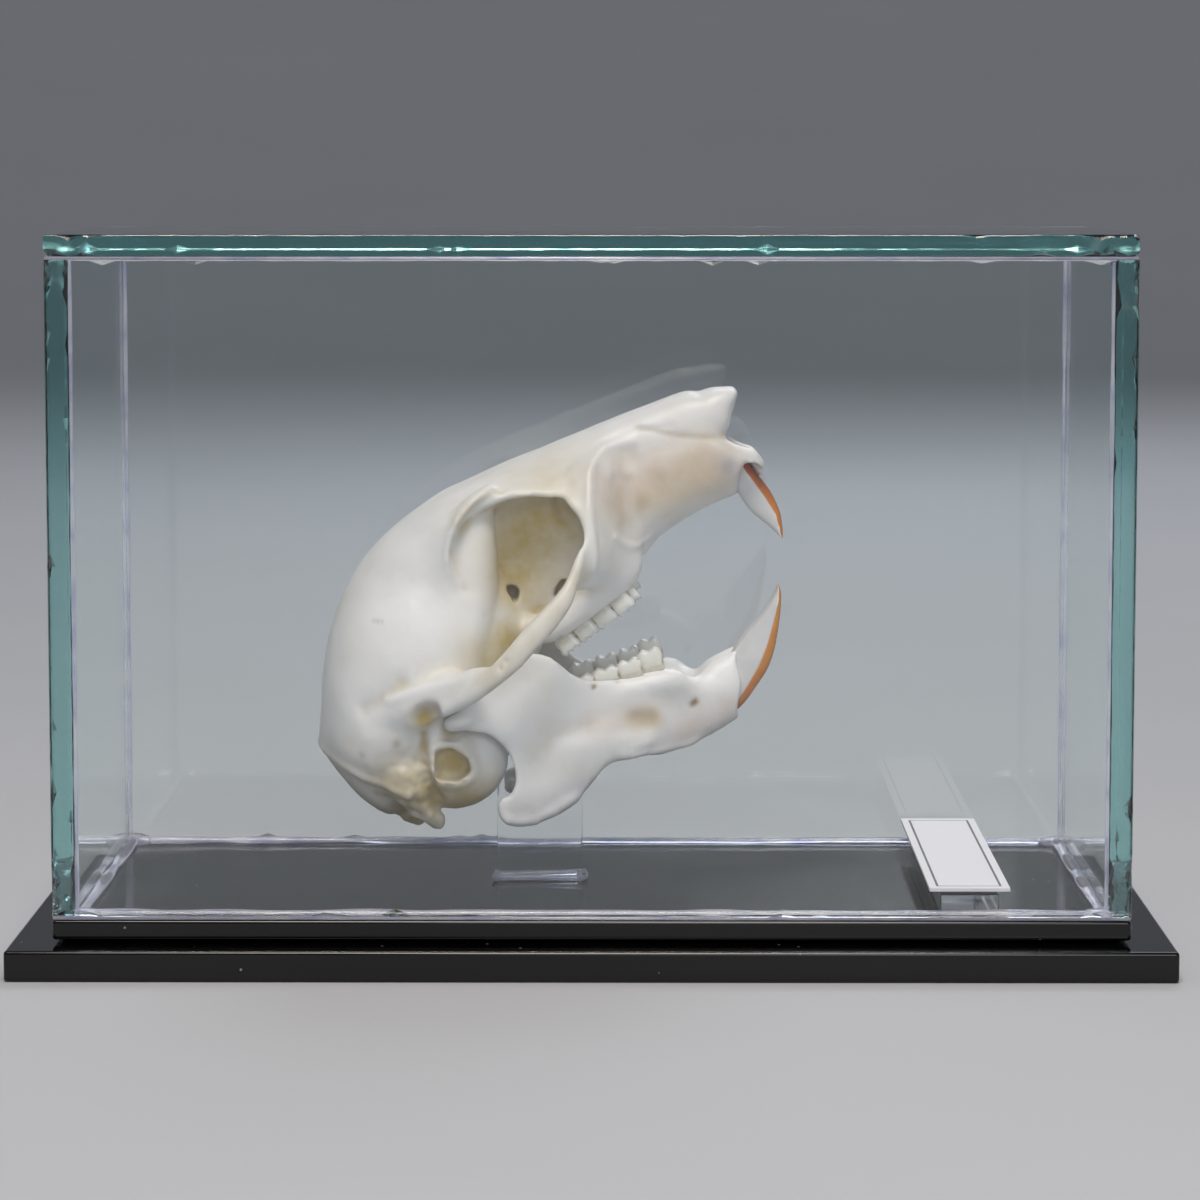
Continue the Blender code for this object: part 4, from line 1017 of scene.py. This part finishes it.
# Cheek teeth. Low crowns of white enamel with two or three small cusps along each rim round
# a shallow basin, each rooted in the bone; tartar and old grease keep to the necks.
# Each tooth from the front: place along the jaw, half length, half width and height.
UPPER_TEETH = [
    (18.6, 0.45, 0.6, 1.25), (17.2, 1.1, 1.10, 1.45), (15.1, 1.14, 1.15, 1.3),
    (12.95, 1.15, 1.15, 1.2), (10.75, 1.14, 1.10, 1.1),
]
LOWER_TEETH = [
    (6.0, 1.14, 0.85, 1.75), (3.85, 1.2, 1.0, 1.35), (1.5, 1.26, 1.05, 1.3),
    (-0.95, 1.3, 1.05, 1.2),
]
UPPER_ROW = (4.7, 4.7, -0.55)  # y of the first and last tooth, z of the bone's edge
LOWER_ROW = (4.6, 5.5, 2.35)
ROOT_DEPTH, BASIN_DEPTH = 0.9, 0.3
CUSPS, CUSP_HEIGHT = {1.0: 2, -1.0: 3}, 0.3  # cusps along a rim, lower and upper


def tooth_enamel():
    """Translucent white enamel with a wet shine, yellowed at the neck and in the basin."""
    made, tree, shader = surface("white_tooth_enamel", "#ecebe4", 0.22, IOR=1.6)
    shader.inputs["Subsurface Weight"].default_value = 0.8
    shader.inputs["Subsurface Radius"].default_value = (1.0, 0.85, 0.65)
    shader.inputs["Subsurface Scale"].default_value = 0.0015
    where = add(tree, "TexCoord").outputs["Object"]
    stain = add(tree, "Attribute", attribute_name="stain")
    uneven = add(tree, "TexNoise", {"Vector": where, "Scale": 1 / 0.0005, "Detail": 3.0})
    amount = add(tree, "Math", {0: stain.outputs["Fac"], 1: uneven.outputs["Fac"]},
                 operation="MULTIPLY", use_clamp=True)
    colour = add(tree, "Mix", {0: amount.outputs[0], 6: linear("#f4f1e8"), 7: linear("#8f8446")},
                 data_type="RGBA")
    tree.links.new(colour.outputs[2], shader.inputs["Base Color"])
    rough = add(tree, "MapRange", {"Value": uneven.outputs["Fac"], "To Min": 0.16, "To Max": 0.34})
    tree.links.new(rough.outputs[0], shader.inputs["Roughness"])
    return made


def build_tooth(name, centre, length, width, height, crown, material, axes):
    """Root, neck and bulging crown; crown is +1 for a lower tooth and -1 for an upper one."""
    bm = bmesh.new()
    stain = bm.verts.layers.float.new("stain")
    walls = [(-ROOT_DEPTH, 0.85), (-0.3, 0.97), (0.0, 0.98), (0.22, 0.99), (0.5 * height, 1.01),
             (0.8 * height, 1.0), (height, 0.95)]
    chewing = [(height, share) for share in (0.85, 0.72, 0.55, 0.36, 0.16)]
    rings = []
    for level, share in walls + chewing:
        ring = ring_points(Vector(), Vector((1, 0, 0)), Vector((0, 1, 0)), share, share, 0.5, 64)
        for point in ring:
            wave = cos(CUSPS[crown] * pi * (point.x + 1)) + 1
            relief = -0.5 * CUSP_HEIGHT * wave * (level == height)
            relief -= BASIN_DEPTH * (1 - point.y**2) * (level == height) * (share < 0.9)
            point.x, point.y, point.z = point.x * length, point.y * width, crown * (level + relief)
        rings.append([centre + point for point in ring])
    rows = loft(bm, rings)
    for row, (level, share) in zip(rows, walls + chewing):
        for vert in row:
            vert[stain] = 0.5 if level < 0.1 else 0.15 if level < 0.3 or share < 0.5 else 0.0
        for vert in row:
            if 0.1 < level < 0.5 * height and abs(vert.co.x - centre.x) > 0.85 * length:
                vert[stain] = 1.3
    bm.transform(axes)
    return new_piece(name, bm, material)


white_enamel = tooth_enamel()
for jaw, teeth, row, crown, place, tilt in (
    ("upper", UPPER_TEETH, UPPER_ROW, -1.0, CRANIUM_PLACE, CRANIUM_TILT),
    ("lower", LOWER_TEETH, LOWER_ROW, 1.0, JAW_PLACE, JAW_TILT),
):
    first, last = teeth[0][0], teeth[-1][0]
    for side_name, side in SIDES.items():
        for number, (x, length, width, height) in enumerate(teeth, start=1):
            y = row[0] + (row[1] - row[0]) * (first - x) / (first - last)
            molar = build_tooth(f"{jaw}_molar_{side_name}_{number}", Vector((x, y * side, row[2])),
                                length, width, height, crown, white_enamel,
                                bone_axes(place, tilt))
            dress(molar, "tooth_white", f"{jaw}_cheek_tooth_{side_name}_{number}")

# Label. A slip of smooth white card, ruled with a thin border and glued on a clear acrylic
# bar that is laid along the case's right-hand end.
RULE_INSET, RULE_WIDTH, FRONT_RULE_INSET = 0.0007, 0.00022, 0.0012
BAR_EDGE = 0.0002


def smooth_card():
    """Coated board: matte, faintly fibrous, a little uneven in its whiteness."""
    made, tree, shader = surface("smooth_white_card", "#f6f3f8", 0.6)
    where = add(tree, "TexCoord").outputs["Object"]
    # The fibres are drawn as clouds coarser than real ones, so that they show.
    fibres = add(tree, "TexNoise", {"Vector": where, "Scale": 1 / 0.0006, "Detail": 4.0})
    tone = add(tree, "ValToRGB", {"Fac": fibres.outputs["Fac"]},
               [(0.0, "#eceaf2"), (1.0, "#faf8fc")])
    tree.links.new(tone.outputs["Color"], shader.inputs["Base Color"])
    relief = add(tree, "Bump", {"Height": fibres.outputs["Fac"], "Strength": 0.2,
                                "Distance": 0.00003})
    tree.links.new(relief.outputs["Normal"], shader.inputs["Normal"])
    return made


def printed_ink():
    """A thin dry film of dark grey ink that lets the card's fibres show."""
    made, tree, shader = surface("dark_printed_ink", "#2c2d33", 0.5)
    where = add(tree, "TexCoord").outputs["Object"]
    cover = add(tree, "TexNoise", {"Vector": where, "Scale": 1 / 0.0003, "Detail": 2.0})
    tone = add(tree, "ValToRGB", {"Fac": cover.outputs["Fac"]},
               [(0.0, "#222329"), (1.0, "#3f4048")])
    tree.links.new(tone.outputs["Color"], shader.inputs["Base Color"])
    return made


def build_card(card, ink):
    """The card's upper face is divided so that its ruled lines are faces of their own."""
    low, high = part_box("label_card")
    across = [low.x, low.x + RULE_INSET, low.x + RULE_INSET + RULE_WIDTH,
              high.x - RULE_INSET - RULE_WIDTH, high.x - RULE_INSET, high.x]
    along = [low.y, low.y + FRONT_RULE_INSET, low.y + FRONT_RULE_INSET + RULE_WIDTH,
             high.y - FRONT_RULE_INSET - RULE_WIDTH, high.y - FRONT_RULE_INSET, high.y]
    bm = bmesh.new()
    corners = [[bm.verts.new((x, y, high.z)) for x in across] for y in along]
    for row in range(5):
        for column in range(5):
            face = bm.faces.new((corners[row][column], corners[row][column + 1],
                                 corners[row + 1][column + 1], corners[row + 1][column]))
            ruled = (column in (1, 3) and 0 < row < 4) or (row in (1, 3) and 0 < column < 4)
            face.material_index = int(ruled)
    draw_out(bm, list(bm.faces), (0, 0, low.z - high.z))
    made = new_piece("label_slip", bm, card, smooth=False)
    made.data.materials.append(ink)
    return made


dress(build_card(smooth_card(), printed_ink()), "white_card", "label_card")
bar = rounded_block("label_bar", *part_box("label_block"), BAR_EDGE, clear_acrylic)
dress(let_light_through(bar), "clear_acrylic", "label_block")

# Glass. Five panes of 2 mm float glass, cut by a wheel and glued edge to edge. Their faces
# are flawless, their arrises nibbled and shelled at the corners, and looked at edgewise the
# glass is a deep sea green.
NIBBLE_SPACING = 0.0006
CORNER_CHANCE, EDGE_CHANCE = 0.3, 0.015  # of a chip at each nibble
DEEPEST_CHIP = 0.45  # share of the glass's thickness
ARRIS, CORNER_CHIP, CHIP_REACH = 0.00009, 0.0009, 0.0045
EDGE_GRIND, ARRIS_GRIND = 0.12, 0.7  # how far each is rubbed dull


def float_glass():
    """Clear soda-lime glass; its iron only shows green along a long way through it."""
    made, tree, shader = surface("green_edged_float_glass", "#ffffff", 0.0, IOR=1.52,
                                 Transmission_Weight=1.0)
    ground = add(tree, "Attribute", attribute_name="ground")
    where = add(tree, "TexCoord").outputs["Object"]
    grit = add(tree, "TexNoise", {"Vector": where, "Scale": 1 / 0.0025, "Detail": 2.0})
    rubbed = add(tree, "Math", {0: ground.outputs["Fac"], 1: grit.outputs["Fac"]},
                 operation="MULTIPLY")
    rough = add(tree, "MapRange", {"Value": rubbed.outputs[0], "To Min": 0.0, "To Max": 0.5})
    tree.links.new(rough.outputs[0], shader.inputs["Roughness"])
    depth = add(tree, "VolumeAbsorption", {"Color": (0.45, 0.83, 0.82, 1.0), "Density": 42.0})
    tree.links.new(depth.outputs[0], tree.nodes["Material Output"].inputs["Volume"])
    return made


def build_pane(name, low, high, material, seed):
    chance = random.Random(seed)
    size = high - low
    thin = min(range(3), key=lambda axis: size[axis])
    wide, tall = [axis for axis in range(3) if axis != thin]
    outline = []
    corners = [(0, 0), (1, 0), (1, 1), (0, 1)]
    for (u, v), (next_u, next_v) in zip(corners, corners[1:] + corners[:1]):
        length = size[wide] if v == next_v else size[tall]
        count = round(length / NIBBLE_SPACING)
        for step in range(count):
            t = step / count
            outline.append((u + (next_u - u) * t, v + (next_v - v) * t, min(t, 1 - t) * length))
    arrises = []
    for _ in range(2):
        sizes = [ARRIS * chance.uniform(0.5, 1.5) for _ in outline]
        for index, (_, _, to_corner) in enumerate(outline):
            if chance.random() < (CORNER_CHANCE if to_corner < CHIP_REACH else EDGE_CHANCE):
                sizes[index] += CORNER_CHIP * chance.uniform(0.3, 1.0)
        arrises.append([(sizes[i - 1] + 2 * sizes[i] + sizes[(i + 1) % len(sizes)]) / 4
                        for i in range(len(sizes))])
    bm = bmesh.new()
    ground = bm.verts.layers.float.new("ground")
    # Each ring: the face that it belongs to, and how far in and how deep, in arris widths.
    profile = [(0, 1.0, 0.0), (0, 0.35, 0.5), (0, 0.0, 1.1), (1, 0.0, 1.1), (1, 0.35, 0.5),
               (1, 1.0, 0.0)]
    rings = []
    for face, inward, deep in profile:
        ring = []
        for (u, v, _), arris in zip(outline, arrises[face]):
            point = Vector(low)
            for axis, share in ((wide, u), (tall, v)):
                reach = arris * inward
                point[axis] += min(max(share * size[axis], reach), size[axis] - reach)
            sunk = min(arris * deep, DEEPEST_CHIP * size[thin])
            point[thin] += sunk if face == 0 else size[thin] - sunk
            ring.append(point)
        rings.append(ring)
    rows = loft(bm, rings)
    for level, row in enumerate(rows[1:-1]):
        for vert, arris in zip(row, arrises[int(level > 1)]):
            dull = ARRIS_GRIND if level in (0, 3) else EDGE_GRIND
            vert[ground] = min(dull + 2 * max(arris - 2 * ARRIS, 0) / CORNER_CHIP, 1.0)
    return new_piece(name, bm, material, smooth=False)


green_glass = float_glass()
for seed, node in enumerate(("glass_front", "glass_back", "glass_left", "glass_right",
                             "glass_lid")):
    pane = build_pane(node + "_pane", *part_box(node), green_glass, seed)
    dress(let_light_through(pane), "clear_glass", node)

# Glue. Clear adhesive that was drawn into the joints and pressed out of them in soft runs,
# milky where it is thick: under the lid, up the corners, along the floor, at the stand's foot.
FLOOR_RUN = (0.00055, 0.00036)  # half width and half height
LID_RUN, CORNER_RUN, FOOT_RUN = (0.0003, 0.0002), (0.0002, 0.0002), (0.0005, 0.0004)
RUN_STEP = 0.0045
BLOB, BLOB_INWARD, BLOB_LIFT = (0.0016, 0.0014, 0.0006), 0.0006, 0.0002
FILM_SHARE, FILM_INSET = 0.94, 0.00008


def set_adhesive():
    """Half-clear, faintly lavender resin with a soft shine and clouds of tiny bubbles."""
    made, tree, shader = surface("set_clear_adhesive", "#c9cdec", 0.15, IOR=1.48,
                                 Transmission_Weight=0.75)
    where = add(tree, "TexCoord").outputs["Object"]
    clouds = add(tree, "TexNoise", {"Vector": where, "Scale": 1 / 0.003, "Detail": 4.0})
    tone = add(tree, "ValToRGB", {"Fac": clouds.outputs["Fac"]},
               [(0.0, "#7f88cc"), (0.5, "#aab1e2"), (1.0, "#e6e8f8")])
    tree.links.new(tone.outputs["Color"], shader.inputs["Base Color"])
    rough = add(tree, "MapRange", {"Value": clouds.outputs["Fac"], "To Min": 0.05, "To Max": 0.3})
    tree.links.new(rough.outputs[0], shader.inputs["Roughness"])
    return made


def run(bm, start, end, chance, size):
    """A run of glue between two points, thicker and thinner by chance."""
    start, end = Vector(start), Vector(end)
    count = max(round((end - start).length / RUN_STEP), 2)
    stations = []
    for step in range(count + 1):
        spread = chance.uniform(0.7, 1.2)
        stations.append((*start.lerp(end, step / count), size[0] * spread, size[1] * spread))
    up = FORWARD if abs((end - start).normalized().z) > 0.9 else UPWARD
    sweep(bm, stations, sides=12, up=up)


def film(bm, one, other):
    """The layer that fills the narrow gap where two neighbours face each other."""
    low, high = Vector(map(max, one[0], other[0])), Vector(map(min, one[1], other[1]))
    size = Vector(b - a - 2 * FILM_INSET if b > a else (a - b) * FILM_SHARE
                  for a, b in zip(low, high))
    add_block(bm, size, (low + high) / 2)


def build_glue(material):
    chance = random.Random(8)
    bm = bmesh.new()
    plinth, lid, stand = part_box("base_plinth"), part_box("glass_lid"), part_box("skull_stand")
    front, back, left, right = (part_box("glass_" + side) for side in ("front", "back", "left",
                                                                     "right"))
    for pane in (front, back, left, right):
        film(bm, pane, lid)
        film(bm, pane, plinth)
    floor, top = plinth[1].z, lid[0].z
    west, east, south, north = left[1].x, right[0].x, front[1].y, back[0].y
    for y, inward in ((south, 1), (north, -1)):
        for z, (wide, thick) in ((floor, FLOOR_RUN), (top, LID_RUN)):
            lift = thick if z == floor else -thick
            run(bm, (west, y + wide * inward, z + lift), (east, y + wide * inward, z + lift),
                chance, (wide, thick))
        for x, sideways in ((west, 1), (east, -1)):
            spot = Vector((x + CORNER_RUN[0] * sideways, y + CORNER_RUN[0] * inward, floor))
            run(bm, spot, (spot.x, spot.y, top), chance, CORNER_RUN)
            egg(bm, spot + Vector((BLOB_INWARD * sideways, BLOB_INWARD * inward, BLOB_LIFT)), BLOB)
    for x, sideways in ((west, 1), (east, -1)):
        spot = x + FLOOR_RUN[0] * sideways
        run(bm, (spot, south, floor + FLOOR_RUN[1]), (spot, north, floor + FLOOR_RUN[1]), chance,
            FLOOR_RUN)
    low, high = stand
    for y in (low.y, high.y):
        run(bm, (low.x, y, floor + FOOT_RUN[1]), (high.x, y, floor + FOOT_RUN[1]), chance, FOOT_RUN)
    for x in (low.x, high.x):
        run(bm, (x, low.y, floor + FOOT_RUN[1]), (x, high.y, floor + FOOT_RUN[1]), chance, FOOT_RUN)
    return new_piece("joint_glue", bm, material)


adhesive = set_adhesive()
dress(let_light_through(build_glue(adhesive)), "clear_glass")
